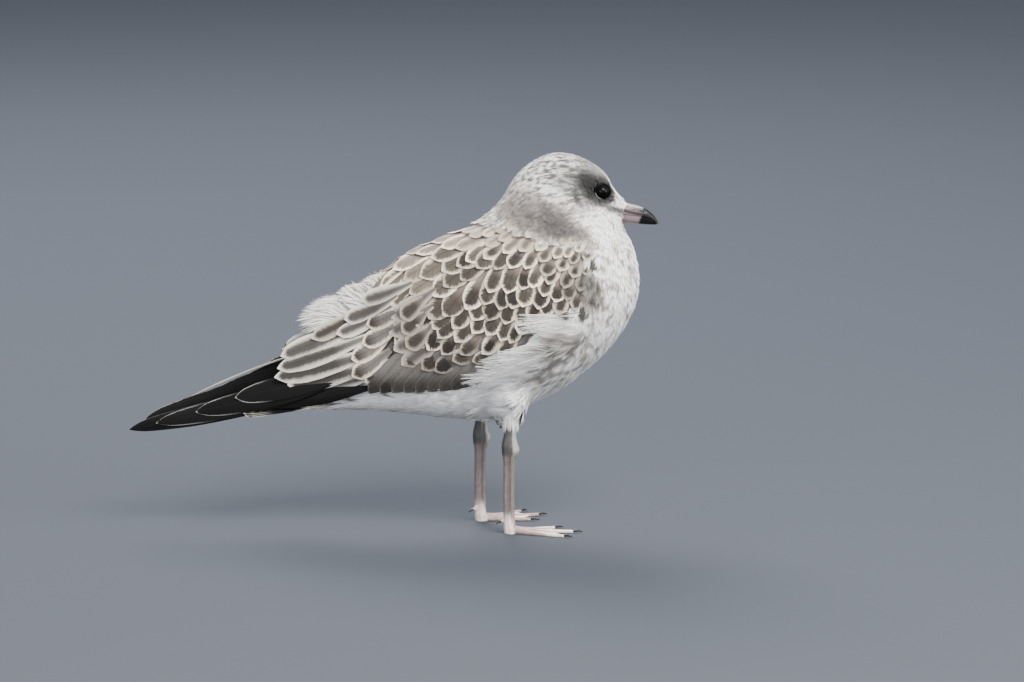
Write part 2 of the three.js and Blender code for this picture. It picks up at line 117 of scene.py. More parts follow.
def grain(places: Array, size: float | Sequence[float], seed: int = 0) -> Array:
    """Smooth noise in space.

    Args:
        places: n x 3 places.
        size: the size of a patch, for all axes or for each.
        seed: picks another pattern.
    Returns:
        n values from 0 to 1.
    """
    cells = places / np.asarray(size, float) + seed * 13.7
    base = np.floor(cells).astype(np.int64)
    t = cells - base
    t = t * t * (3 - 2 * t)
    total = np.zeros(len(places))
    for corner in product((0, 1), repeat=3):
        key = (base + corner) @ np.array([73856093, 19349663, 83492791]) + seed * 2654435761
        key = (key ^ (key >> 13)) * 1274126177 & 0x7FFFFFFF
        value = ((key ^ (key >> 16)) & 0xFFFF) / 0xFFFF
        total += value * np.prod(np.where(corner, t, 1 - t), axis=1)
    return total


def within(outline: Sequence[Spot], x: Array, z: Array) -> Array:
    """Tells which places lie inside an outline seen from the side."""
    found = np.zeros(len(x), bool)
    for (x0, z0), (x1, z1) in zip(outline, [*outline[1:], outline[0]]):
        crosses = (z0 > z) != (z1 > z)
        at = x0 + (z - z0) * (x1 - x0) / ((z1 - z0) or 1e-9)
        found ^= crosses & (x < at)
    return found


def rim_distance(outline: Sequence[Spot], x: Array, z: Array) -> Array:
    """The distance to an outline seen from the side, negative outside it."""
    best = np.full(len(x), 1e9)
    for (x0, z0), (x1, z1) in zip(outline, [*outline[1:], outline[0]]):
        run, rise = x1 - x0, z1 - z0
        t = np.clip(((x - x0) * run + (z - z0) * rise) / (run * run + rise * rise), 0, 1)
        best = np.minimum(best, np.hypot(x - x0 - t * run, z - z0 - t * rise))
    return np.where(within(outline, x, z), best, -best)


# ---- Where the gull stands ----


@dataclass(frozen=True)
class Stance:
    """The step from the gull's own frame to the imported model's, found from its eyes."""

    shift: Array
    eye_x: float = 64.6

    @classmethod
    def found(cls) -> "Stance":
        """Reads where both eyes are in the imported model."""
        corners = [np.array(c) for n in ("eye_right", "eye_left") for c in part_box(n)]
        middle = sum(corners) / 4 / MM
        return cls(np.array([middle[0] - cls.eye_x, middle[1], 0.0]))

    def to_model(self, places: Array) -> Array:
        """Gull millimetres to model metres."""
        return (places + self.shift) * MM

    def to_gull(self, places: Array) -> Array:
        """Model metres to gull millimetres."""
        return places / MM - self.shift


STANCE = Stance.found()


@dataclass(frozen=True)
class Eye:
    """Both eyes, each by its side of Y."""

    x: float = 65.0
    y: float = 12.6
    z: float = 240.5
    radius: float = 6.0
    opening: float = 5.5  # radius of the feathers' edge round it


EYE = Eye()


# ---- Surfaces that feathers lie on ----


def arrays_of(thing: Thing) -> tuple[Array, Array]:
    """A mesh's places in gull millimetres and its triangles."""
    mesh = thing.data
    places = np.empty(len(mesh.vertices) * 3, np.float32)
    mesh.vertices.foreach_get("co", places)
    mesh.calc_loop_triangles()
    faces = np.empty(len(mesh.loop_triangles) * 3, np.int32)
    mesh.loop_triangles.foreach_get("vertices", faces)
    return STANCE.to_gull(places.reshape(-1, 3).astype(float)), faces.reshape(-1, 3)


class Surface:
    """A shape in gull millimetres that feathers are set on."""

    outside = 200.0  # a Y that lies clear of the gull

    def __init__(self, places: Array, faces: Array) -> None:
        """Keeps the shape with its smooth normals and a search tree."""
        self.places, self.faces = places, faces
        corners = places[faces]
        face_normals = np.cross(corners[:, 1] - corners[:, 0], corners[:, 2] - corners[:, 0])
        self.areas = np.linalg.norm(face_normals, axis=1) / 2
        normals = np.zeros_like(places)
        for k in range(3):
            np.add.at(normals, faces[:, k], face_normals)
        self.normals = unit(normals)
        self.tree = BVHTree.FromPolygons(places.tolist(), faces.tolist())

    def nearest(self, points: Array) -> tuple[Array, Array]:
        """The closest place to each point and its smooth normal."""
        found = [self.tree.find_nearest(p) for p in points.tolist()]
        places = np.array([f[0] for f in found])
        return places, self._smooth(places, np.array([f[2] for f in found]))

    def _smooth(self, places: Array, index: Array) -> Array:
        """Normals blended from the corners of the faces that places lie on."""
        a, b, c = (self.places[self.faces[index, k]] for k in range(3))
        whole = np.cross(b - a, c - a)
        scale = np.maximum((whole * whole).sum(1), 1e-12)
        share_b = (np.cross(places - a, c - a) * whole).sum(1) / scale
        share_c = (np.cross(b - a, places - a) * whole).sum(1) / scale
        shares = np.clip(np.stack([1 - share_b - share_c, share_b, share_c], 1), 0, 1)
        corner_normals = self.normals[self.faces[index]]
        return unit((corner_normals * shares[..., None]).sum(1))

    def strewn(self, count: int, rng: Rng, use: Array) -> tuple[Array, Array]:
        """Random places on the faces that use picks, even by area."""
        pick = np.flatnonzero(use)
        chance = self.areas[pick] / self.areas[pick].sum()
        index = rng.choice(pick, count, p=chance)
        a, b = rng.random((2, count, 1))
        flip = a + b > 1
        a, b = np.where(flip, 1 - a, a), np.where(flip, 1 - b, b)
        p, q, r = (self.places[self.faces[index, k]] for k in range(3))
        places = p + a * (q - p) + b * (r - p)
        return places, self._smooth(places, index)

    def sideways(self, x: Array, z: Array, side: int) -> Array:
        """The outermost Y at places seen from one side, and not-a-number past the edge."""
        towards = Vector((0, -side, 0))
        reach = [self.tree.ray_cast((a, self.outside * side, b), towards) for a, b in zip(x, z)]
        return np.array([hit[0].y if hit[0] is not None else np.nan for hit in reach])


# ---- How the coat lies ----


@dataclass(frozen=True)
class Landmark:
    """What the soft plumage is like round one place. Y counts for both sides."""

    place: Place
    lie: Place
    length: float
    spacing: float
    depth: float
    reach: float = 22.0


LANDMARKS = (
    Landmark((80, 5, 228), (-0.9, 0.3, 0.05), 3.4, 1.25, 0.9, 7),  # lores
    Landmark((78, 0, 236), (-0.55, 0, 0.83), 4.0, 1.35, 1.0, 8),  # forehead
    Landmark((68, 10, 250), (-0.8, 0.1, 0.5), 5.2, 1.5, 1.3, 9),  # brow
    Landmark((45, 0, 265), (-1, 0, 0.05), 8.0, 2.0, 1.8, 14),  # crown
    Landmark((20, 0, 261), (-0.8, 0, -0.6), 10.0, 2.3, 2.3, 14),  # hind crown
    Landmark((5, 0, 248), (-0.55, 0, -0.83), 12.0, 2.7, 2.8, 14),  # nape
    Landmark((-10, 0, 228), (-0.75, 0, -0.65), 12.0, 3.0, 3.0, 16),  # hind neck
    Landmark((73, 12, 231), (-0.85, 0.2, -0.45), 4.4, 1.4, 1.0, 8),  # below the eye
    Landmark((78, 9, 216), (-0.7, 0.2, -0.7), 7.0, 1.9, 1.7, 9),  # side of the chin
    Landmark((50, 19, 240), (-0.93, 0, -0.3), 7.0, 1.8, 1.6, 11),  # ear coverts
    Landmark((36, 25, 228), (-0.75, 0, -0.65), 9.0, 2.2, 2.2, 13),  # rear of the cheek
    Landmark((82, 0, 208), (0.0, 0, -1), 9.0, 2.3, 2.2, 10),  # throat
    Landmark((60, 26, 210), (-0.5, 0.05, -0.87), 11.0, 2.6, 2.6, 15),  # side of the neck
    Landmark((28, 32, 214), (-0.6, 0, -0.8), 11.0, 2.7, 2.8, 15),  # rear of the neck
    Landmark((91, 0, 178), (-0.15, 0, -1), 15.0, 3.0, 3.4),  # breast
    Landmark((74, 32, 180), (-0.4, 0.1, -0.92), 15.0, 3.0, 3.4),  # side of the breast
    Landmark((72, 0, 132), (-0.65, 0, -0.75), 18.0, 3.4, 4.0),  # lower breast
    Landmark((48, 42, 138), (-0.85, 0, -0.5), 18.0, 3.3, 4.0),  # front of the flank
    Landmark((38, 0, 101), (-0.92, 0, -0.4), 20.0, 3.8, 4.4),  # front of the belly
    Landmark((8, 0, 87), (-1, 0, -0.1), 22.0, 4.0, 4.4),  # belly
    Landmark((0, 38, 108), (-1, 0, -0.12), 22.0, 3.9, 4.2),  # rear of the flank
    Landmark((-40, 26, 94), (-1, 0, 0.0), 24.0, 4.2, 3.8),  # side of the vent
    Landmark((-70, 0, 83), (-1, 0, 0.03), 26.0, 4.4, 3.6),  # vent
    Landmark((-122, 9, 88), (-1, 0, 0.02), 24.0, 4.2, 2.4),  # undertail coverts
    Landmark((57, 44, 174), (-0.1, 0, -1), 12.0, 3.2, 3.0),  # bend of the wing
    Landmark((-40, 0, 210), (-0.9, 0, -0.42), 16.0, 4.0, 3.2),  # back
    Landmark((20, 46, 192), (-0.05, 0, -1), 14.0, 3.6, 3.0, 12),  # scapulars from front to rear
    Landmark((-8, 47, 187), (-0.2, 0, -0.98), 14.0, 3.6, 3.0, 11),
    Landmark((-32, 44, 186), (-0.5, 0, -0.86), 14.0, 3.6, 3.0, 10),
    Landmark((-52, 42, 180), (-0.8, 0, -0.6), 14.0, 3.6, 3.0, 12),
    Landmark((-75, 38, 175), (-0.82, 0, -0.57), 14.0, 3.6, 3.0, 14),
    Landmark((-36, 45, 168), (-0.65, 0, -0.76), 14.0, 3.6, 3.0, 12),
    Landmark((-46, 42, 138), (-0.4, 0, -0.92), 14.0, 3.6, 3.0, 12),  # lesser and median coverts
    Landmark((8, 47, 152), (-0.3, 0, -0.95), 14.0, 3.6, 3.0, 14),
    Landmark((-82, 34, 158), (-0.85, 0, -0.52), 18.0, 4.0, 3.0),  # rear of the wing
    Landmark((-100, 0, 165), (-0.85, 0, -0.5), 20.0, 4.0, 3.4),  # lower back
    Landmark((-128, 0, 122), (-0.85, 0, -0.5), 22.0, 4.2, 2.6),  # rump
    Landmark((-8, 20, 229), (-0.7, 0, -0.7), 5.0, 1.8, 1.6, 8),  # rim of the hood
    Landmark((10, 34, 221), (-0.6, 0, -0.8), 5.0, 1.8, 1.6, 7),
    Landmark((33, 36, 215), (-0.5, 0, -0.86), 5.0, 1.8, 1.6, 7),
    Landmark((56, 30, 213), (-0.4, 0, -0.9), 5.5, 1.8, 1.6, 6),
    Landmark((1, 21, 76), (-0.12, 0, -1), 10.0, 2.1, 1.4, 6),  # right thigh
    Landmark((-19, 22, 76), (-0.12, 0, -1), 10.0, 2.1, 1.4, 6),  # left thigh
)


class Lie:
    """The direction and size of the plumage anywhere, blended between the landmarks."""

    def __init__(self, landmarks: Sequence[Landmark]) -> None:
        """Keeps the landmarks as arrays."""
        self.places = np.array([m.place for m in landmarks], float)
        self.reach = np.array([m.reach for m in landmarks])
        self.values = np.array([(*m.lie, m.length, m.spacing, m.depth) for m in landmarks])

    def at(self, places: Array) -> tuple[Array, Array, Array, Array]:
        """Lie, length, spacing and depth at places."""
        folded = mirrored(places)
        gaps = np.linalg.norm(folded[:, None] - self.places[None], axis=2)
        weight = np.exp(-((gaps / self.reach) ** 2) / 2) + 1e-9 / (1 + gaps)
        blend = weight @ self.values / weight.sum(1, keepdims=True)
        sign = np.where(places[:, 1] < 0, -1.0, 1.0)
        lie = blend[:, :3] * np.stack([np.ones(len(sign)), sign, np.ones(len(sign))], 1)
        return lie, blend[:, 3], blend[:, 4], blend[:, 5]

    def along(self, places: Array, normals: Array) -> Array:
        """The lie at places, flat on the surface and parted round the eyes."""
        lie = unit(self.at(places)[0])
        away = places[:, [0, 2]] - (EYE.x, EYE.z)
        gap = np.maximum(np.linalg.norm(away, axis=1), 1e-6)
        near = np.exp(-np.maximum(gap - EYE.opening, 0) / 2.2) * (np.abs(places[:, 1]) > 8)
        outward = away / gap[:, None]
        inward_part = np.minimum((lie[:, [0, 2]] * outward).sum(1), 0) * near
        lie[:, [0, 2]] -= outward * (inward_part * 1.25)[:, None]
        return unit(lie - normals * (lie * normals).sum(1)[:, None])


LIE = Lie(LANDMARKS)


# ---- Markings ----


@dataclass(frozen=True)
class Mark:
    """A soft oval of colour seen from the side: its middle, half sizes, tilt and strength."""

    x: float
    z: float
    long: float
    high: float
    colour: str
    strength: float
    tilt: float = 0.0
    least_y: float = -1.0

    def share(self, places: Array) -> Array:
        """How much of the mark shows at folded places."""
        turn = math.radians(self.tilt)
        dx, dz = places[:, 0] - self.x, places[:, 2] - self.z
        along = (dx * math.cos(turn) + dz * math.sin(turn)) / self.long
        up = (dz * math.cos(turn) - dx * math.sin(turn)) / self.high
        oval = np.exp(-((along**2 + up**2) ** 2))
        return self.strength * oval * eased(self.least_y - 3, self.least_y, places[:, 1])


# The scaly feathers of mantle, scapulars and wing coverts cover this outline from the side.
SCALY = (
    (-11, 223), (8, 219), (33, 212), (54, 210), (57, 200), (54, 186), (50, 174), (46, 162),
    (30, 156), (8, 152), (-5, 138), (-14, 130), (-42, 123), (-68, 129), (-76, 149), (-88, 166),
    (-104, 186), (-60, 218), (-22, 234),
)  # fmt: skip

# The plain coverts below them, where the long vanes lie on bare form.
COVERTS = (
    (-110, 101), (-54, 100.5), (-27, 102.5), (-8, 109), (4, 118), (14, 132), (24, 148), (34, 161),
    (8, 158), (-5, 143), (-14, 136), (-42, 130), (-70, 135), (-76, 149), (-88, 166), (-112, 160),
)  # fmt: skip

HEAD_MARKS = (
    Mark(52, 261, 36, 10, "#d2d1cf", 0.85, -8),  # crown
    Mark(24, 251, 18, 14, "#f0efee", 0.8, 50),  # hind crown
    Mark(6, 234, 17, 15, "#d8d5d2", 0.8, 60),  # hind neck
    Mark(12, 221, 26, 8, "#bfbab4", 0.75, -22),  # where the hood meets the mantle
    Mark(44, 211, 22, 5.5, "#bfbab5", 0.6, -12),
    Mark(26, 224, 25, 13, "#b2adaa", 0.75, -20),  # smudge on the neck
    Mark(33, 219, 13, 8.5, "#8a8481", 0.7, -32),
    Mark(50, 214, 9, 5, "#a39e9b", 0.6, -14),
    Mark(42, 247, 15, 8, "#b9b8b6", 0.6, -24),
    Mark(60, 255, 12, 7, "#b3b2b0", 0.6, -34),
    Mark(52, 235, 8.5, 6.6, "#bebcba", 0.75, 16),  # ear coverts
    Mark(47.2, 239.0, 2.2, 5.5, "#605e5c", 0.8, 14),  # rear edge of the ear coverts
    Mark(56, 247.2, 10.8, 7.0, "#3b3938", 0.94, -26, 8),  # smudge behind and above the eye
    Mark(57, 240.5, 5.5, 4.4, "#504e4d", 0.8, -10, 8),
    Mark(59.5, 243.5, 6.0, 5.0, "#373534", 0.9, -24, 8),
    Mark(65.3, 241.0, 9.4, 8.8, "#262524", 0.96, 0, 7),  # round the eye
    Mark(69.4, 240.5, 4.4, 7.6, "#232322", 0.92, -12, 7),  # in front of the eye
    Mark(72.5, 229.0, 6.5, 2.2, "#8b8a88", 0.75, -25),  # lores
    Mark(78.5, 226.5, 5.0, 1.7, "#7f7a79", 0.65, -20),
    Mark(80.5, 223.6, 3.6, 1.2, "#95807f", 0.8, 6),  # gape
)

BODY_MARKS = (
    Mark(54, 176, 10, 18, "#96928e", 0.7, 20, 24),  # by the bend of the wing
    Mark(36, 132, 24, 14, "#c6c3bf", 0.45, 34, 18),  # mottled flank
    Mark(-112, 93.5, 5, 1.3, "#6b6866", 0.75, -10, 4),
    Mark(-128, 91.0, 5, 1.2, "#6b6866", 0.7, -8, 4),
    Mark(-142, 89.0, 5, 1.1, "#74716e", 0.7, -8, 2),
    Mark(-86, 97.5, 4, 1.2, "#75726f", 0.6, -12, 6),
    Mark(-66, 101.5, 4, 1.2, "#827f7c", 0.5, -14, 8),
)


@dataclass(frozen=True)
class Markings:
    """The gull's colours anywhere on its skin and soft coat."""

    white: str = "#f2f1ef"
    belly: str = "#e2e1df"
    streak: str = "#807d7a"
    spot: str = "#7b7773"
    scaly_under: str = "#9d968e"

    def of(self, places: Array, bare: bool = False) -> Array:
        """Reflectances at places in gull millimetres.

        Args:
            places: n x 3 places on the skin or coat.
            bare: whether it is the skin, which is dark under the firm feathers.
        Returns:
            n x 3 reflectances.
        """
        p = mirrored(places)
        x, y, z = p.T
        low = eased(120, 85, z)
        colour = mixed(shade(self.white), shade(self.belly), low)
        ragged = p + (grain(p, (4.5, 1.6, 1.3), 31) - 0.5)[:, None] * (5.5, 0, -4.2)
        for mark in (*HEAD_MARKS, *BODY_MARKS):
            colour = mixed(colour, shade(mark.colour), mark.share(ragged))
        colour = mixed(colour, shade(self.streak), self._streaks(p))
        colour = mixed(colour, shade(self.spot), self._spots(p))
        covered = np.maximum(rim_distance(SCALY, x, z), rim_distance(COVERTS, x, z))
        under = eased(-1.0, 3.0, covered) * eased(12, 22, np.abs(y) + (z > 170) * 40) * bare
        colour = mixed(colour, shade(self.scaly_under), under * 0.85)
        return reflectance(colour) * (0.94 + 0.1 * grain(places, 2.6, 5))[:, None]

    def _streaks(self, p: Array) -> Array:
        """Fine streaks on the crown, nape and hind neck."""
        x, y, z = p.T
        fine = eased(0.42, 0.74, grain(p, (3.8, 1.1, 1.3), 2))
        coarse = eased(0.45, 0.8, grain(p, (8, 3, 3), 3))
        crown = eased(238, 256, z + 0.35 * (40 - x)) * eased(84, 66, x)
        neck = eased(62, 44, x) * eased(204, 216, z) * 0.65
        cheek = 0.4 * eased(82, 70, x) * eased(212, 226, z)
        return np.maximum.reduce([crown, neck, cheek]) * (0.68 * fine + 0.14 * coarse)

    def _spots(self, p: Array) -> Array:
        """Mottles on the breast and flank, in the middle of its feathers."""
        x, y, z = p.T
        spots = eased(0.56, 0.74, grain(p, (3.6, 3.2, 4.2), 7))
        large = eased(0.46, 0.6, grain(p, (3.8, 3.4, 4.6), 8))
        breast = eased(42, 60, x + 0.15 * (z - 160)) * eased(214, 198, z) * eased(96, 116, z)
        middle = 0.35 + 0.65 * eased(4, 20, y)
        flank = eased(4, 16, x) * eased(66, 46, x) * eased(98, 110, z) * eased(152, 138, z)
        side = eased(26, 36, x) * eased(72, 56, x) * eased(208, 194, z) * eased(146, 160, z)
        blotch = eased(0.5, 0.68, grain(p, (5.0, 4.5, 4.0), 9))
        amount = 0.36 * breast * middle * spots
        amount = np.maximum(amount, 0.55 * flank * np.maximum(spots, 0.7 * blotch) * eased(8, 20, y))
        return np.maximum(amount, 1.1 * side * large * eased(14, 24, y))


MARKINGS = Markings()


# ---- Feather patterns ----


@dataclass(frozen=True)
class Pattern:
    """One closed feather to copy.

    Across is in half widths, along runs from 0 at the root to 1 at the tip, and above is in
    millimetres. chart holds each corner's place on the vane, both from 0 to 1, tone how bright it
    is, with painted shade where a soft feather lies deep and between its blades, and facing is -1
    on the underside.
    """

    across: Array
    along: Array
    above: Array
    chart: Array
    tone: Array
    facing: Array
    faces: Array
    dome: float = 0.35

    @classmethod
    def of(cls, rows: list[tuple[float, ...]], faces: list[tuple[int, ...]], dome: float) -> "Pattern":
        """Makes a pattern whose faces all point outwards.

        Args:
            rows: across, along, above, two chart values, tone and facing of each corner.
            faces: triangles of corner numbers, turned the same way all round.
            dome: how far the shading rounds off towards the edges.
        Returns:
            The pattern.
        """
        corners, turned = np.array(rows, float), np.array(faces, int)
        a, b, c = (corners[turned[:, k], :3] for k in range(3))
        if (np.cross(a, b) * c).sum() < 0:
            turned = turned[:, ::-1]
        return cls(*corners[:, :3].T, corners[:, 3:5], *corners[:, 5:].T, turned, dome)


def ring_faces(rings: int, sides: int) -> list[tuple[int, ...]]:
    """Triangles between rings of corners that follow each other."""
    faces = []
    for i, j in product(range(rings - 1), range(sides)):
        a, b = i * sides + j, i * sides + (j + 1) % sides
        faces += [(a, b, b + sides), (a, b + sides, a + sides)]
    return faces


def plume(
    fingers: int, rng: Rng, ragged: float = 0.07, thick: float = 0.16, split: float = 0.0
) -> Pattern:
    """A soft feather of loose blades that fan from its root.

    Args:
        fingers: the number of blades.
        rng: gives each blade its own length, lean, height and brightness.
        ragged: how much the lengths differ.
        thick: the height of a blade's ridge.
        split: how far the blades part towards the tip.
    Returns:
        The pattern.
    """
    # groove darkens the blades' low edges: painted shade between the blades
    pitch, shares, groove = 2 / fingers, (0.0, 0.45, 0.8), 0.72
    rings = (*shares, 1.0)
    rows, faces = [], []
    for i in range(fingers):
        middle = -1 + pitch * (i + 0.5)
        length = 1 - 0.2 * middle**2 + rng.uniform(-ragged, ragged)
        lean, start = rng.uniform(-0.12, 0.12), len(rows)
        level, bright = rng.uniform(-0.1, 0.1), rng.uniform(0.85, 1.05)
        for v in rings:
            centre = middle * (0.3 + 0.7 * v**0.8) + lean * v * v
            half = pitch * (0.8 - split * v) * (1 - v**3)
            edges = [(-half, 0.0), (0.0, thick), (half, 0.0)] if v < 1 else [(0.0, thick)]
            # the blades are painted darker towards the root: painted shade deep in the coat
            tone = (0.55, 0.78, 1.0, 1.0)[rings.index(v)] * bright
            rows += [
                (centre + e, v * length, level + up, (centre + e) / 2 + 0.5, v, tone * (up > 0 or groove), 1)
                for e, up in edges
            ]
        faces += [tuple(start + n for n in face) for face in ring_faces(len(shares), 3)]
        last = start + 3 * (len(shares) - 1)
        faces += [(start, start + 2, start + 1)]
        faces += [(last + k, last + (k + 1) % 3, start + 3 * len(shares)) for k in range(3)]
    return Pattern.of(rows, faces, 0.3)


@dataclass(frozen=True)
class VaneForm:
    """The outline of a firm vane."""

    columns: tuple[float, ...]
    rows: tuple[float, ...]
    root_width: float = 0.35
    tip_width: float = 0.42
    widest: float = 0.68
    round_tip: float = 0.1
    camber: float = 0.9
    thick: float = 0.35
    shaft: float = 0.12
    ripple: float = 0.04

    def half(self, v: float) -> float:
        """The half width at a place along the vane, with 1 at its widest."""
        if v < self.widest:
            return self.root_width + (1 - self.root_width) * math.sin(v / self.widest * math.pi / 2) ** 1.2
        past = (v - self.widest) / (1 - self.widest)
        return self.tip_width + (1 - self.tip_width) * math.sqrt(max(0.0, 1 - past**2.2))

    def pattern(self, rng: Rng) -> Pattern:
        """Makes the vane, its edges a little uneven."""
        rows: list[tuple[float, ...]] = []
        for v in self.rows:
            wave = rng.uniform(-self.ripple, self.ripple, 2)
            for u in self.columns:
                edge = 1 + (wave[0] if u < 0 else wave[1]) * abs(u)
                along = v - self.round_tip * abs(u) ** 2 * v**2
                above = -self.camber * u * u * (0.4 + 0.6 * v) + (self.shaft if u == 0 else 0.0)
                rows.append((u * self.half(v) * edge, along, above, u / 2 + 0.5, v, 1.0, 1.0))
            for u in (1.0, 0.0, -1.0):
                edge = 1 + (wave[0] if u < 0 else wave[1]) * abs(u)
                along = v - self.round_tip * abs(u) ** 2 * v**2
                above = -self.camber * u * u * (0.4 + 0.6 * v) - (0.06 if u else self.thick)
                rows.append((u * self.half(v) * edge * 0.98, along, above, u / 2 + 0.5, v, 1.0, -1.0))
        ring = len(self.columns) + 3
        faces = ring_faces(len(self.rows), ring)
        last, hub = ring * (len(self.rows) - 1), ring - 2
        round_hub = [(hub + 1 + i) % ring for i in range(ring - 1)]
        for a, b in zip(round_hub, round_hub[1:]):
            faces += [(b, a, hub), (last + a, last + b, last + hub)]
        return Pattern.of(rows, faces, 0.45)


SCALE_FORM = VaneForm(
    columns=(-1.0, -0.85, -0.6, -0.3, 0.0, 0.3, 0.6, 0.85, 1.0),
    rows=(0.0, 0.12, 0.28, 0.45, 0.6, 0.72, 0.82, 0.9, 0.96, 1.0),
)
FINE = (-1.0, -0.8, -0.5, -0.2, 0.0, 0.2, 0.5, 0.8, 1.0)
LONG_FORM = VaneForm(
    FINE, (*np.linspace(0, 0.8, 12).tolist(), 0.85, 0.89, 0.93, 0.96, 0.985, 1.0),
    root_width=0.3, tip_width=0.3, widest=0.72, round_tip=0.06,
    camber=1.1, thick=0.5, shaft=0.22, ripple=0.03,
)  # fmt: skip
FLIGHT_FORM = VaneForm(
    FINE, (*np.linspace(0, 0.85, 16).tolist(), 0.9, 0.94, 0.97, 0.99, 1.0),
    root_width=0.3, tip_width=0.16, widest=0.45, round_tip=0.03,
    camber=0.6, thick=0.55, shaft=0.2, ripple=0.01,
)  # fmt: skip


# ---- Feathers set out on a surface ----


KNOTS = 4  # places along a short feather's spine


@dataclass
class Growth:
    """Feathers by their spines: arrays of n feathers with k places each, root first.

    The measures in millimetres may be one number for all the feathers.
    """

    spine: Array
    normal: Array
    side: Array
    width: Array | float
    sunk: Array | float = 0.0  # depth of the root under the coat's surface
    lift: Array | float = 0.0  # height of the tip over it
    layer: Array | float = 0.0  # a small step of its own

    def __post_init__(self) -> None:
        """Gives every feather measures of its own."""
        for name in ("width", "sunk", "lift", "layer"):
            setattr(self, name, np.broadcast_to(getattr(self, name), len(self.spine)).astype(float))

    @classmethod
    def straight(cls, start: Array, end: Array, out: Array, **measures: Any) -> "Growth":
        """Feathers on straight spines.

        Args:
            start: n root places.
            end: n tip places.
            out: the way each feather's face looks, before it is set square to the spine.
            measures: the width and the other measures.
        Returns:
            The feathers.
        """
        run = unit(end - start)
        normal = unit(out - run * (out * run).sum(1)[:, None])
        spine = start[:, None] + (end - start)[:, None] * np.linspace(0, 1, KNOTS)[None, :, None]
        faces, sides = (np.repeat(v[:, None], KNOTS, 1) for v in (normal, np.cross(run, normal)))
        return cls(spine, faces, sides, **measures)

    def __len__(self) -> int:
        """The number of feathers."""
        return len(self.spine)

    def some(self, pick: Array) -> "Growth":
        """The feathers that pick selects."""
        return Growth(*(getattr(self, name)[pick] for name in self.__dataclass_fields__))

    def laid(self, pattern: Pattern) -> tuple[Array, Array]:
        """Copies a pattern onto every spine.

        Args:
            pattern: the feather to copy.
        Returns:
            The corners and their shading normals, each n x corners x 3.
        """
        shares = np.linspace(0, 1, self.spine.shape[1])
        if len(shares) == KNOTS:
            basis = lagrange(pattern.along, shares)
        else:
            basis = np.stack([np.interp(pattern.along, shares, row) for row in np.eye(len(shares))], 1)
        spine, normal, side = (
            np.einsum("vk,nkd->nvd", basis, part) for part in (self.spine, self.normal, self.side)
        )
        normal, side = unit(normal), unit(side)
        v = pattern.along[None]
        height = pattern.above + self.layer[:, None] * v
        height = height - self.sunk[:, None] * np.clip(1 - v, 0, 1) ** 1.2 + self.lift[:, None] * v**2
        reach = pattern.across * self.width[:, None] / 2
        places = spine + side * reach[..., None] + normal * height[..., None]
        shading = normal * pattern.facing[:, None]
        shading = unit(shading + side * (pattern.across * pattern.dome)[:, None])
        return places, shading


def lagrange(at: Array, knots: Array) -> Array:
    """Weights of a smooth curve through a few knots, one row for each place."""
    weights = [
        np.prod([(at - other) / (knot - other) for other in knots if other != knot], axis=0)
        for knot in knots
    ]
    return np.stack(weights, 1)


def walked(surface: Surface, roots: Array, length: Array, yaw: Array) -> tuple[Array, Array, Array]:
    """Walks spines along a surface, with the lie of the coat.

    Args:
        surface: what the feathers lie on.
        roots: n root places.
        length: n lengths.
        yaw: n turns off the lie, in radians.
    Returns:
        Places, normals and sideways vectors, each n x KNOTS x 3.
    """
    places, normals = surface.nearest(roots)
    heading = LIE.along(places, normals)
    across = np.cross(heading, normals)
    heading = heading * np.cos(yaw)[:, None] + across * np.sin(yaw)[:, None]
    spine, up, side = [places], [normals], [np.cross(heading, normals)]
    step = (length / (KNOTS - 1))[:, None]
    for _ in range(KNOTS - 1):
        places, normals = surface.nearest(places + heading * step)
        heading = mixed(heading, LIE.along(places, normals), 0.4)
        heading = unit(heading - normals * (heading * normals).sum(1)[:, None])
        spine.append(places)
        up.append(normals)
        side.append(np.cross(heading, normals))
    return np.stack(spine, 1), np.stack(up, 1), np.stack(side, 1)


def spread_out(places: Array, radius: Array) -> Array:
    """Picks places so that no two lie closer than their radius.

    Args:
        places: n x 3 candidates in random order.
        radius: n distances that each keeps free.
    Returns:
        The numbers of those that stay.
    """
    cells = np.floor(places / float(radius.max())).astype(int)
    taken: dict[tuple[int, ...], list[list[float]]] = {}
    steps = list(product((-1, 0, 1), repeat=3))
    kept = []
    for n, (p, (i, j, k), r) in enumerate(zip(places.tolist(), cells.tolist(), radius.tolist())):
        near = (q for a, b, c in steps for q in taken.get((i + a, j + b, k + c), ()))
        if all((p[0] - q[0]) ** 2 + (p[1] - q[1]) ** 2 + (p[2] - q[2]) ** 2 >= r * r for q in near):
            kept.append(n)
            taken.setdefault((i, j, k), []).append(p)
    return np.array(kept, int)


# ---- Joined pieces of coat ----

# The line through the middle of the gull that its coat is unwrapped round, bill first.
AXIS = ((100, 222), (84, 224), (60, 232), (38, 222), (22, 190), (4, 162), (-40, 142), (-100, 112), (-270, 70))
PATCH = 0.003  # size of a feather's patch on the map


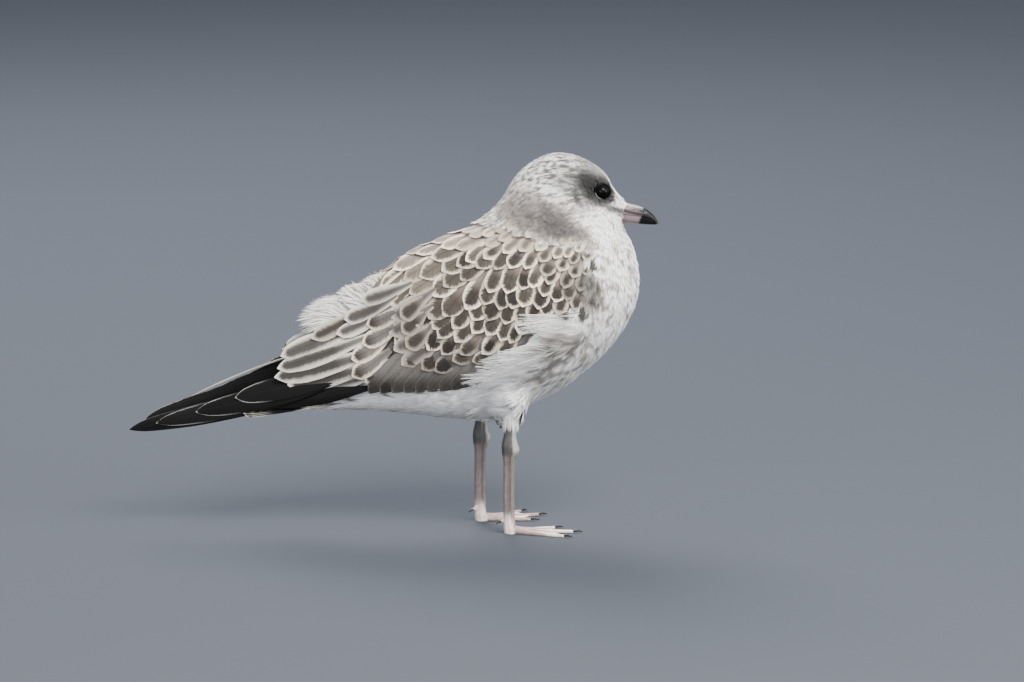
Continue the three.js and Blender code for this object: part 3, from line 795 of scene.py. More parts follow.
def unwrapped(places: Array) -> Array:
    """Where places lie on a map wrapped round the gull's own middle line.

    Args:
        places: n x 3 places.
    Returns:
        n x 2 values from 0 to 1: round the body and along it.
    """
    knots = np.array(AXIS, float)
    flat = places[:, [0, 2]]
    start, run = knots[:-1], np.diff(knots, axis=0)
    size = np.linalg.norm(run, axis=1)
    t = ((flat[:, None] - start) * run).sum(2) / size**2
    t = np.clip(t, 0, 1)
    gap = np.linalg.norm(flat[:, None] - start - t[..., None] * run, axis=2)
    best = gap.argmin(1)
    rows = np.arange(len(flat))
    done = np.concatenate([[0], np.cumsum(size)])
    along = (done[best] + t[rows, best] * size[best]) / done[-1]
    across = np.stack([run[best, 1], -run[best, 0]], 1) / size[best][:, None]
    height = ((flat - start[best]) * across).sum(1)
    angle = np.arctan2(places[:, 1], -height)
    return np.stack([(angle / (2 * math.pi) + 0.5) * 0.98 + 0.01, along * 0.98 + 0.01], 1)


def new_mesh(name: str, places: Array, faces: Array) -> Thing:
    """Makes an object from gull places and triangles, and puts it in the scene."""
    mesh = bpy.data.meshes.new(name)
    mesh.vertices.add(len(places))
    mesh.vertices.foreach_set("co", STANCE.to_model(places).astype(np.float32).ravel())
    mesh.loops.add(faces.size)
    mesh.loops.foreach_set("vertex_index", faces.astype(np.int32).ravel())
    mesh.polygons.add(len(faces))
    mesh.polygons.foreach_set("loop_start", np.arange(0, faces.size, 3, dtype=np.int32))
    mesh.polygons.foreach_set("use_smooth", np.ones(len(faces), bool))
    mesh.update(calc_edges=True)
    thing = bpy.data.objects.new(name, mesh)
    bpy.context.scene.collection.objects.link(thing)
    return thing


def paint(thing: Thing, name: str, values: Array) -> None:
    """Stores a colour for each corner of a mesh as an attribute."""
    layer = thing.data.attributes.new(name, "FLOAT_COLOR", "POINT")
    full = np.concatenate([values, np.ones((len(values), 1))], 1)
    layer.data.foreach_set("color", full.astype(np.float32).ravel())


def settle(thing: Thing, slot: str, *replaced: str) -> None:
    """Puts a piece under its body, hides the solids that it stands for and notes its triangles."""
    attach(thing, BODY)
    if replaced:
        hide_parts(*replaced)
    log.info("%s: %d triangles", thing.name, sum(len(p.vertices) - 2 for p in thing.data.polygons))


@dataclass
class Coat:
    """Feathers that are joined in one piece."""

    name: str
    slot: str
    finish: "Finish"
    corners: list[Array] = field(default_factory=list)
    shading: list[Array] = field(default_factory=list)
    faces: list[Array] = field(default_factory=list)
    uneven: float = 0.16  # how much neighbours differ in brightness
    vanes: list[Array] = field(default_factory=list)
    patches: list[Array] = field(default_factory=list)
    colours: dict[str, list[Array]] = field(default_factory=dict)
    count: int = 0

    def add(self, pattern: Pattern, growth: Growth, **colours: Array) -> None:
        """Adds a feather on every spine.

        Args:
            pattern: the feather to copy.
            growth: where the feathers go.
            colours: named colours, one for each feather or for each of its corners.
        """
        if not len(growth):
            return
        places, shading = growth.laid(pattern)
        n, corners = places.shape[:2]
        if "Ink" not in colours:
            marks = MARKINGS.of(places.reshape(-1, 3)).reshape(n, corners, 3)
            own = 1 + self.uneven * (grain(growth.spine[:, 0], 0.4, 21) - 0.6)
            # the pattern's tone adds painted shade at the roots and between the blades; own is each feather's
            # own brightness
            colours["Ink"] = marks * pattern.tone[None, :, None] * own[:, None, None]
        for name, values in colours.items():
            full = values if values.ndim == 3 else np.repeat(values[:, None], corners, 1)
            self.colours.setdefault(name, []).append(full.reshape(n * corners, -1))
        offsets = self.count + np.arange(n)[:, None, None] * corners
        self.faces.append((pattern.faces[None] + offsets).reshape(-1, 3))
        self.corners.append(places.reshape(-1, 3))
        self.shading.append(shading.reshape(-1, 3))
        self.vanes.append(np.tile(pattern.chart, (n, 1)))
        patch = unwrapped(growth.spine[:, 0])[:, None] + (pattern.chart - 0.5)[None] * PATCH
        self.patches.append(patch.reshape(-1, 2))
        self.count += n * corners

    def add_kinds(self, patterns: list[Pattern], kinds: Array, growth: Growth, **colours: Array) -> None:
        """Adds a feather on every spine, by the pattern that its kind picks."""
        for kind, pattern in enumerate(patterns):
            pick = kinds == kind
            self.add(pattern, growth.some(pick), **{name: own[pick] for name, own in colours.items()})

    def made(self, *replaced: str) -> None:
        """Joins the feathers in one mesh with its colours and maps."""
        places, faces = np.concatenate(self.corners), np.concatenate(self.faces)
        thing = new_mesh(self.name, places, faces)
        mesh = thing.data
        for name, values in (("Vane", self.vanes), ("OFBake", self.patches)):
            layer = mesh.uv_layers.new(name=name)
            flat = np.concatenate(values)[faces.ravel()]
            layer.data.foreach_set("uv", flat.astype(np.float32).ravel())
        for name, values in self.colours.items():
            paint(thing, name, np.concatenate(values))
        mesh.normals_split_custom_set_from_vertices(np.concatenate(self.shading).tolist())
        mesh.materials.append(self.finish.material())
        settle(thing, self.slot, *replaced)


# ---- Finishes ----

MATH = "ShaderNodeMath"
MIX = "ShaderNodeMix"
RANGE = "ShaderNodeMapRange"
NOISE = "ShaderNodeTexNoise"
BUMP = "ShaderNodeBump"
BY_COLOUR = {"data_type": "RGBA", "blend_type": "MIX"}
BY_SHADE = {"data_type": "RGBA", "blend_type": "MULTIPLY"}
SOFT_STEP = {"interpolation_type": "SMOOTHSTEP"}


class Recipe:
    """A material in the making: its node tree and its Principled shader."""

    def __init__(self, name: str) -> None:
        """Starts a material with one shader and an output."""
        self.material = bpy.data.materials.new(name)
        self.material.use_nodes = True
        self.tree = self.material.node_tree
        self.tree.nodes.clear()
        self.shader = self.add("ShaderNodeBsdfPrincipled")
        self.add("ShaderNodeOutputMaterial", {"Surface": self.shader.outputs[0]})

    def add(self, kind: str, inputs: dict[Any, Any] | None = None, **settings: Any) -> bpy.types.Node:
        """Adds a node.

        Args:
            kind: the node's type.
            inputs: a constant, or another node's socket to link, for each input.
            settings: the node's own properties.
        Returns:
            The node.
        """
        node = self.tree.nodes.new(kind)
        for name, setting in settings.items():
            setattr(node, name, setting)
        for key, value in (inputs or {}).items():
            if isinstance(value, bpy.types.NodeSocket):
                self.tree.links.new(value, node.inputs[key])
            else:
                node.inputs[key].default_value = value
        return node

    def finish(self, tint: Any, normal: Any = None, **sockets: float) -> bpy.types.Material:
        """Links the colour and normal, sets the shader's own constants and gives the material.

        Args:
            tint: the colour's socket.
            normal: the bumped normal's socket.
            sockets: constants by the shader's socket names, with _ for a space.
        Returns:
            The material.
        """
        self.tree.links.new(tint, self.shader.inputs["Base Color"])
        if normal:
            self.tree.links.new(normal, self.shader.inputs["Normal"])
        for name, value in sockets.items():
            self.shader.inputs[name.replace("_", " ")].default_value = value
        return self.material


def colour(code: str) -> tuple[float, ...]:
    """The reflectances of a hex colour as a socket takes them."""
    return (*(float(v) for v in ink(code)), 1.0)


@dataclass(frozen=True)
class Finish:
    """What one surface is made of."""

    name: str
    roughness: float

    def material(self) -> bpy.types.Material:
        """The material, made once."""
        return bpy.data.materials.get(self.name) or self.made(Recipe(self.name))

    def made(self, recipe: Recipe) -> bpy.types.Material:
        """Builds the material."""
        raise NotImplementedError


@dataclass(frozen=True)
class SoftCover(Finish):
    """Loose barbs, down or thin skin: dry matt keratin in the colours painted on the piece."""

    # Barbs are 0.1 mm apart, too fine to see, so the noise is drawn at about 1 mm: 900 a metre.
    grains: float = 900.0
    detail: float = 2.0
    dark: float = 0.9
    light: float = 1.06
    gloss: float = 0.08
    sheen: float = 0.0
    relief: float = 0.0  # strength of the bump
    depth: float = 0.0  # its height in metres

    def made(self, recipe: Recipe) -> bpy.types.Material:
        """Breaks the painted colour, and where it has relief the surface, with fine noise."""
        add = recipe.add
        ink = add("ShaderNodeAttribute", attribute_name="Ink").outputs["Color"]
        place = add("ShaderNodeTexCoord").outputs["Object"]
        fine = add(NOISE, {0: place, "Scale": self.grains, "Detail": self.detail}).outputs[0]
        shade = add(RANGE, {0: fine, 1: 0.3, 2: 0.7, 3: self.dark, 4: self.light}).outputs[0]
        tint = add(MIX, {0: 1.0, 6: ink, 7: shade}, **BY_SHADE).outputs[2]
        bump = None
        if self.relief:
            heights = {"Height": fine, "Strength": self.relief, "Distance": self.depth}
            bump = add(BUMP, heights).outputs[0]
        own = {"Roughness": self.roughness, "Specular_IOR_Level": self.gloss}
        return recipe.finish(tint, bump, Sheen_Weight=self.sheen, Sheen_Roughness=0.6, **own)


@dataclass(frozen=True)
class FirmVane(Finish):
    """Closed vanes of hooked barbs: keratin, smoother than down and with a low silky gloss."""

    roughness: float = 0.65
    gloss: float = 0.1
    barbs: float = 0.14
    frayed: float = 0.66  # how far the fringe follows the barbs
    drift: float = 0.42  # how unevenly wide the fringe is
    spread: float = 2.2  # how far inwards the fringe fades, over its width
    shaft: str = "#3a3532"
    shaft_share: float = 0.25
    dark_centre_and_shade: float = 0.8  # how bright the vane is along its shaft, over its edges: its own darker middle, and painted shade where the feather above overlaps it
    fringe_from: float = -0.3  # where the fringe starts along the vane
    downy: str = "#b0a89f"
    downy_to: float = 0.6  # share of the vane, from its root, that is pale and downy

    def made(self, recipe: Recipe) -> bpy.types.Material:
        """Draws each vane's centre, pale fringe, shaft and slanting barbs from its own map.

        Ink is the centre's colour and Fringe the edge's. Trim holds the fringe's share of the
        half width, a tenth of the vane's length over its half width, and a number of its own.
        """
        add = recipe.add
        ink = add("ShaderNodeAttribute", attribute_name="Ink").outputs["Color"]
        fringe = add("ShaderNodeAttribute", attribute_name="Fringe").outputs["Color"]
        trim = add("ShaderNodeAttribute", attribute_name="Trim").outputs["Color"]
        parts = add("ShaderNodeSeparateColor", {0: trim}).outputs
        vane = add("ShaderNodeUVMap", uv_map="Vane").outputs[0]
        axes = add("ShaderNodeSeparateXYZ", {0: vane}).outputs
        middle = add(MATH, {0: axes[0], 1: 2.0, 2: -1.0}, operation="MULTIPLY_ADD").outputs[0]
        across = add(MATH, {0: middle}, operation="ABSOLUTE").outputs[0]
        slender = add(MATH, {0: parts[1], 1: 10.0}, operation="MULTIPLY").outputs[0]
        # barbs run out from the shaft towards the tip; 0.1 mm apart, they are drawn in strands
        run = add(MATH, {0: axes[1], 1: slender}, operation="MULTIPLY").outputs[0]
        slant = add(MATH, {0: across, 1: -1.1, 2: run}, operation="MULTIPLY_ADD").outputs[0]
        strand = add(MATH, {0: slant, 1: 7.0}, operation="MULTIPLY").outputs[0]
        own = add(MATH, {0: parts[2], 1: 50.0}, operation="MULTIPLY").outputs[0]
        spot = add("ShaderNodeCombineXYZ", {0: strand, 1: middle, 2: own}).outputs[0]
        lines = add(NOISE, {0: spot, "Scale": 1.3, "Detail": 4.0}).outputs[0]
        # the fringe follows the sides and turns round the tip, half a width across
        left = add(MATH, {0: 1.0, 1: axes[1]}, operation="SUBTRACT").outputs[0]
        from_tip = add(MATH, {0: left, 1: slender}, operation="MULTIPLY").outputs[0]
        near_tip = add(MATH, {0: 1.0, 1: from_tip}, operation="SUBTRACT", use_clamp=True).outputs[0]
        side_part = add(MATH, {0: across, 1: 3.0}, operation="POWER").outputs[0]
        tip_part = add(MATH, {0: near_tip, 1: 3.0}, operation="POWER").outputs[0]
        both = add(MATH, {0: side_part, 1: tip_part}, operation="ADD").outputs[0]
        even = add(MATH, {0: both, 1: 1 / 3}, operation="POWER").outputs[0]
        fray = self.frayed
        wave = add(MATH, {0: lines, 1: fray, 2: -fray / 2}, operation="MULTIPLY_ADD").outputs[0]
        edge = add(MATH, {0: even, 1: wave}, operation="ADD").outputs[0]
        wide = add("ShaderNodeCombineXYZ", {0: middle, 1: run, 2: own}).outputs[0]
        drift = add(NOISE, {0: wide, "Scale": 1.1, "Detail": 1.0}).outputs[0]
        edge = add(MATH, {0: drift, 1: self.drift, 2: edge}, operation="MULTIPLY_ADD").outputs[0]
        edge = add(MATH, {0: edge, 1: self.drift / 2}, operation="SUBTRACT").outputs[0]
        inner = add(MATH, {0: parts[0], 1: -self.spread, 2: 1.0}, operation="MULTIPLY_ADD").outputs[0]
        outer = add(MATH, {0: parts[0], 1: -0.45, 2: 1.0}, operation="MULTIPLY_ADD").outputs[0]
        rim = add(RANGE, {0: edge, 1: inner, 2: outer}, **SOFT_STEP).outputs[0]
        start = self.fringe_from
        there = add(RANGE, {0: axes[1], 1: start, 2: start + 0.25}, **SOFT_STEP).outputs[0]
        rim = add(MATH, {0: rim, 1: there}, operation="MULTIPLY").outputs[0]
        base = add(MATH, {0: wave, 1: 0.5, 2: axes[1]}, operation="MULTIPLY_ADD").outputs[0]
        low = add(RANGE, {0: base, 1: self.downy_to - 0.25, 2: self.downy_to, 3: 1.0, 4: 0.0}).outputs[0]
        body = add(MIX, {0: low, 6: ink, 7: colour(self.downy)}, **BY_COLOUR).outputs[2]
        dark, light = 1 - 2 * self.barbs, 1 + self.barbs
        shade = add(RANGE, {0: lines, 1: 0.35, 2: 0.65, 3: dark, 4: light}).outputs[0]
        body = add(MIX, {0: 1.0, 6: body, 7: shade}, **BY_SHADE).outputs[2]
        # darker along the shaft: the vane's own darker middle, with painted shade where the feather above
        # overlaps
        dark_centre_and_shade = add(RANGE, {0: across, 1: 0.0, 2: 0.8, 3: self.dark_centre_and_shade, 4: 1.1}).outputs[0]
        body = add(MIX, {0: 1.0, 6: body, 7: dark_centre_and_shade}, **BY_SHADE).outputs[2]
        shaft = add(RANGE, {0: across, 1: 0.09, 2: 0.03, 4: self.shaft_share}, **SOFT_STEP).outputs[0]
        body = add(MIX, {0: shaft, 6: body, 7: colour(self.shaft)}, **BY_COLOUR).outputs[2]
        tint = add(MIX, {0: rim, 6: body, 7: fringe}, **BY_COLOUR).outputs[2]
        bump = add(BUMP, {"Height": lines, "Strength": 0.2, "Distance": 0.0003}).outputs[0]
        return recipe.finish(tint, bump, Roughness=self.roughness, Specular_IOR_Level=self.gloss)


@dataclass(frozen=True)
class LegSkin(Finish):
    """Horny scales of a young gull's legs and webs: dry keratin with a low gloss."""

    roughness: float = 0.5

    def made(self, recipe: Recipe) -> bpy.types.Material:
        """Fine net of scales, with darker seams, over the painted ground colour."""
        add = recipe.add
        ink = add("ShaderNodeAttribute", attribute_name="Ink").outputs["Color"]
        place = add("ShaderNodeTexCoord").outputs["Object"]
        # the small scales are 0.8 mm across
        net = add("ShaderNodeTexVoronoi", {0: place, "Scale": 1250.0}, feature="DISTANCE_TO_EDGE")
        seam = add(RANGE, {0: net.outputs["Distance"], 1: 0.0, 2: 0.16}, **SOFT_STEP).outputs[0]
        blotch = add(NOISE, {0: place, "Scale": 260.0, "Detail": 4.0}).outputs[0]
        shade = add(RANGE, {0: blotch, 1: 0.3, 2: 0.7, 3: 0.78, 4: 1.12}).outputs[0]
        tint = add(MIX, {0: 1.0, 6: ink, 7: shade}, **BY_SHADE).outputs[2]
        dark = add(RANGE, {0: seam, 3: 0.35, 4: 0.0}).outputs[0]
        tint = add(MIX, {0: dark, 6: tint, 7: colour("#4d4546")}, **BY_COLOUR).outputs[2]
        bump = add(BUMP, {"Height": seam, "Strength": 0.35, "Distance": 0.0002}).outputs[0]
        return recipe.finish(tint, bump, Roughness=self.roughness, Specular_IOR_Level=0.4)


@dataclass(frozen=True)
class BillHorn(Finish):
    """The bill's sheath: smooth keratin, greyish pink, paler along the ridge and black at the tip."""

    roughness: float = 0.45
    pink: str = "#ab9da0"
    ridge: str = "#c0b9b8"
    black: str = "#161518"
    shadow: str = "#2a2425"
    black_from: Place = (90.6, 0.0, 220.4)

    def made(self, recipe: Recipe) -> bpy.types.Material:
        """Shades the sheath by its place along the bill, in metres from where the black starts."""
        add = recipe.add
        place = add("ShaderNodeTexCoord").outputs["Object"]
        start = STANCE.to_model(np.array([self.black_from]))[0]
        local = add("ShaderNodeMapping", {0: place, "Location": tuple(-float(v) for v in start)})
        axes = add("ShaderNodeSeparateXYZ", {0: local.outputs[0]}).outputs
        soft = add(NOISE, {0: place, "Scale": 500.0, "Detail": 3.0}).outputs[0]
        wave = add(MATH, {0: soft, 1: 0.003, 2: -0.0015}, operation="MULTIPLY_ADD").outputs[0]
        # the black runs further back along the cutting edge than on the ridge
        ahead = add(MATH, {0: axes[0], 1: wave}, operation="ADD").outputs[0]
        run = add(MATH, {0: axes[2], 1: -0.3, 2: ahead}, operation="MULTIPLY_ADD").outputs[0]
        black = add(RANGE, {0: run, 1: 0.0002, 2: 0.0026}, **SOFT_STEP).outputs[0]
        level = add(MATH, {0: axes[2], 1: wave}, operation="ADD").outputs[0]
        high = add(RANGE, {0: level, 1: 0.0058, 2: 0.0072}, **SOFT_STEP).outputs[0]
        ground = add(MIX, {0: high, 6: colour(self.pink), 7: colour(self.ridge)}, **BY_COLOUR).outputs[2]
        # painted shadow along the mouth's edge, in the groove that holds the nostril and along the lower edge
        # of the lower mandible
        for middle, half, depth in ((0.0040, 0.0023, 0.92), (0.0064, 0.0008, 0.6), (-0.0032, 0.0012, 0.2)):
            fall = add(MATH, {0: axes[0], 1: 0.2, 2: level}, operation="MULTIPLY_ADD").outputs[0]
            off = add(MATH, {0: fall, 1: middle}, operation="SUBTRACT").outputs[0]
            gap = add(MATH, {0: off}, operation="ABSOLUTE").outputs[0]
            groove = add(RANGE, {0: gap, 1: half, 2: half * 0.4, 4: depth}, **SOFT_STEP).outputs[0]
            ground = add(MIX, {0: groove, 6: ground, 7: colour(self.shadow)}, **BY_COLOUR).outputs[2]
        tint = add(MIX, {0: black, 6: ground, 7: colour(self.black)}, **BY_COLOUR).outputs[2]
        bump = add(BUMP, {"Height": soft, "Strength": 0.08, "Distance": 0.0003}).outputs[0]
        return recipe.finish(tint, bump, Roughness=self.roughness, Specular_IOR_Level=0.18)


@dataclass(frozen=True)
class WetEye(Finish):
    """A wet cornea over a very dark brown iris."""

    roughness: float = 0.2
    iris: str = "#191412"
    pupil: str = "#020202"
    rim: str = "#070606"

    def made(self, recipe: Recipe) -> bpy.types.Material:
        """Rings of colour round the way the eye looks, by the distance painted on it in mm."""
        add = recipe.add
        gaze = add("ShaderNodeAttribute", attribute_name="Gaze").outputs["Fac"]
        place = add("ShaderNodeTexCoord").outputs["Object"]
        fibre = add(NOISE, {0: place, "Scale": 1500.0, "Detail": 2.0}).outputs[0]
        iris = add(MIX, {0: fibre, 6: colour(self.iris), 7: colour(self.rim)}, **BY_COLOUR).outputs[2]
        opened = add(RANGE, {0: gaze, 1: 2.3, 2: 2.5}, **SOFT_STEP).outputs[0]
        inner = add(MIX, {0: opened, 6: colour(self.pupil), 7: iris}, **BY_COLOUR).outputs[2]
        outer = add(RANGE, {0: gaze, 1: 3.6, 2: 4.1}, **SOFT_STEP).outputs[0]
        tint = add(MIX, {0: outer, 6: inner, 7: colour(self.rim)}, **BY_COLOUR).outputs[2]
        return recipe.finish(tint, Roughness=self.roughness, IOR=1.376, Specular_IOR_Level=0.1)


@dataclass(frozen=True)
class PlainShade(Finish):
    """A plain smooth surface with a slight variation."""

    shade: str
    gloss: float
    patch: float = 400.0
    unevenness: float = 0.7

    def made(self, recipe: Recipe) -> bpy.types.Material:
        """One colour broken by soft noise."""
        add = recipe.add
        place = add("ShaderNodeTexCoord").outputs["Object"]
        soft = add(NOISE, {0: place, "Scale": self.patch, "Detail": 3.0}).outputs[0]
        pale = colour(self.shade)
        dark = (*(self.unevenness * c for c in pale[:3]), 1.0)
        tint = add(MIX, {0: soft, 6: pale, 7: dark}, **BY_COLOUR).outputs[2]
        return recipe.finish(tint, Roughness=self.roughness, Specular_IOR_Level=self.gloss)


# Barbs that don't hook together scatter the light: matt, with a soft sheen at the edges.
SOFT = SoftCover("Soft contour feather", 0.85, sheen=0.15)
# Down is looser still: no gloss at all, and a pale glow where it is seen edge on.
DOWN = SoftCover("Loose white down", 0.95, sheen=0.5)
# Dry skin under the coat, in the colours of the down that covers it, painted darker: shade deep in the coat.
SKIN = SoftCover("Feathered skin", 0.9, 700.0, 3.0, 0.6, 0.95, 0.2, relief=0.5, depth=0.001)
# Bare thin skin of the eyelid's rim: leathery and matt, with fine wrinkles.
LID = SoftCover("Eyelid rim", 0.85, 1800.0, 3.0, 0.7, 1.1, 0.06, relief=0.4, depth=0.0002)
# Hooked barbs make a closed vane: smoother than down, and glossier the harder it wears.
VANE = FirmVane("Scaly covert vane")
LONG = FirmVane(
    "Long covert vane", barbs=0.08, frayed=0.35, drift=0.15, spread=2.6, dark_centre_and_shade=0.9,
    downy="#a09b95", downy_to=0.4,
)  # fmt: skip
TIPPED = FirmVane(
    "Tipped covert vane", barbs=0.12, drift=0.2, dark_centre_and_shade=0.85, fringe_from=0.1,
    downy="#9b9792", downy_to=0.85,
)  # fmt: skip
FLIGHT = FirmVane(
    "Flight feather vane", gloss=0.06, barbs=0.1, frayed=0.2, drift=0.1, spread=1.5, dark_centre_and_shade=0.85,
    fringe_from=0.7, downy="#232222", downy_to=0.3,
)  # fmt: skip
# Horny scales over thin skin: a low gloss that the edges of the scales break up.
LEG = LegSkin("Scaled leg skin")
# A sheath of smooth horn: one soft, long highlight.
BILL = BillHorn("Bill sheath")
# A wet cornea over a dark iris: nearly black, with small clear reflections of the lamps.
EYE_WET = WetEye("Wet cornea")
# Claws are dark horn polished by use: a small soft highlight.
CLAW = PlainShade("Claw horn", 0.35, shade="#333134", gloss=0.3)
# Flat paint doesn't shine, so the floor shows nothing but the gull's shadow.
FLOOR = PlainShade("Studio floor paint", 0.9, shade="#6e747f", gloss=0.1, patch=1.5, unevenness=0.97)


# ---- The body's form and its skin ----


@contextmanager
def opened(thing: Thing) -> Iterator[None]:
    """Holds a piece open for editing, with all of its mesh selected."""
    alone(thing)
    bpy.ops.object.mode_set(mode="EDIT")
    bpy.ops.mesh.select_all(action="SELECT")
    yield
    bpy.ops.object.mode_set(mode="OBJECT")


def alone(*things: Thing) -> None:
    """Selects only these things, the first of them active."""
    bpy.ops.object.select_all(action="DESELECT")
    for thing in things:
        thing.select_set(True)
    bpy.context.view_layer.objects.active = things[0]


def modified(thing: Thing, kind: str, **settings: Any) -> None:
    """Applies one modifier to a piece."""
    modifier = thing.modifiers.new(kind.title(), kind)
    for name, setting in settings.items():
        setattr(modifier, name, setting)
    alone(thing)
    bpy.ops.object.modifier_apply(modifier=modifier.name)


def joined(name: str, *things: Thing) -> Thing:
    """Joins things in one piece, under a new name."""
    alone(*things)
    if len(things) > 1:
        bpy.ops.object.join()
    things[0].name = things[0].data.name = name
    return things[0]


def copied(name: str, *nodes: str) -> Thing:
    """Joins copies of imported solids, with the corners of their loose triangles merged."""
    copies = []
    for node in nodes:
        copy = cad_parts[node].copy()
        copy.data = copy.data.copy()
        copy.parent = None
        copy.data.materials.clear()
        copy.hide_render = copy.hide_viewport = False
        for key in list(copy.keys()):
            del copy[key]
        bpy.context.scene.collection.objects.link(copy)
        copy.hide_set(False)
        copies.append(copy)
    whole = joined(name, *copies)
    with opened(whole):
        bpy.ops.mesh.remove_doubles(threshold=1e-6)
    return whole


def moved(thing: Thing, places: Array) -> None:
    """Puts a mesh's corners at new gull places."""
    thing.data.vertices.foreach_set("co", STANCE.to_model(places).astype(np.float32).ravel())
    thing.data.update()


@dataclass(frozen=True)
class Push:
    """A soft dent or swelling of the form: its middle, how far it shifts and its reach."""

    place: Place
    shift: Place
    reach: float


PUSHES = (
    Push((76, 0, 243), (-1.6, 0, -1.2), 7.0),  # forehead
    Push((82, 0, 232), (1.4, 0, 0.6), 3.6),  # ridge over the bill's base
    Push((81, 0, 214.5), (-5.0, 0, 0.8), 5.0),  # under the chin
    Push((-8, 0, 86), (0, 0, -4.0), 14.0),  # belly between the legs
)


@dataclass
class Body:
    """The gull's outer form, which its plumage follows, and the skin that lies under it."""

    flesh: tuple[str, ...] = (
        "head", "neck", "trunk", "wing_right", "wing_left", "thigh_right", "thigh_left",
    )  # fmt: skip
    bare: tuple[str, ...] = ("shank_right", "shank_left", "foot_right", "foot_left")
    swell: float = 0.35  # more than half the gap between two solids
    voxel: float = 2.2
    rounds: int = 15
    leg_voxel: float = 0.5
    leg_rounds: int = 4

    def outer(self) -> Thing:
        """Fuses copies of the flesh solids in one smooth form."""
        form = copied("skin", *self.flesh)
        modified(form, "DISPLACE", strength=self.swell * MM, mid_level=0.0)
        modified(form, "REMESH", mode="VOXEL", voxel_size=self.voxel * MM)
        modified(form, "SMOOTH", factor=0.5, iterations=self.rounds)
        places = arrays_of(form)[0]
        for push in PUSHES:
            gap = np.linalg.norm(places - push.place, axis=1) / push.reach
            places = places + np.exp(-(gap**2))[:, None] * push.shift
        moved(form, places)
        return form

    def skin(self, form: Thing, surface: Surface) -> None:
        """Sinks the form by the depth of the coat and joins the bare legs and the lids to it.

        Args:
            form: the fused outer form.
            surface: the same form in gull millimetres.
        """
        depth = LIE.at(surface.places)[3]
        places = surface.places - surface.normals * depth[:, None]
        moved(form, places)
        paint(form, "Ink", MARKINGS.of(places, bare=True))
        self._dressed(form, SKIN)
        legs = Legs().build(copied("legs", *self.bare), self.leg_voxel, self.leg_rounds)
        self._dressed(legs, LEG)
        lids = [Lid(side).build(surface) for side in (-1, 1)]
        for lid in lids:
            self._dressed(lid, LID)
        skin = joined("skin", form, legs, *lids)
        skin.data.shade_smooth()
        settle(skin, "coat_body", *self.flesh, *self.bare)

    @staticmethod
    def _dressed(piece: Thing, finish: Finish) -> None:
        """Gives a piece its only material."""
        piece.data.materials.clear()
        piece.data.materials.append(finish.material())


@dataclass(frozen=True)
class Leg:
    """One leg's ankle line and the turn of its foot."""

    side: int
    x: float
    y: float
    turn: float

    def local(self, places: Array) -> tuple[Array, Array]:
        """How far places are ahead of the ankle line and outwards of it."""
        turn = math.radians(self.turn)
        dx, dy = places[:, 0] - self.x, places[:, 1] * self.side - self.y
        return dx * math.cos(turn) + dy * math.sin(turn), dy * math.cos(turn) - dx * math.sin(turn)


@dataclass(frozen=True)
class Toe:
    """A front toe: its length from the foot's root and its spread in degrees."""

    length: float
    spread: float


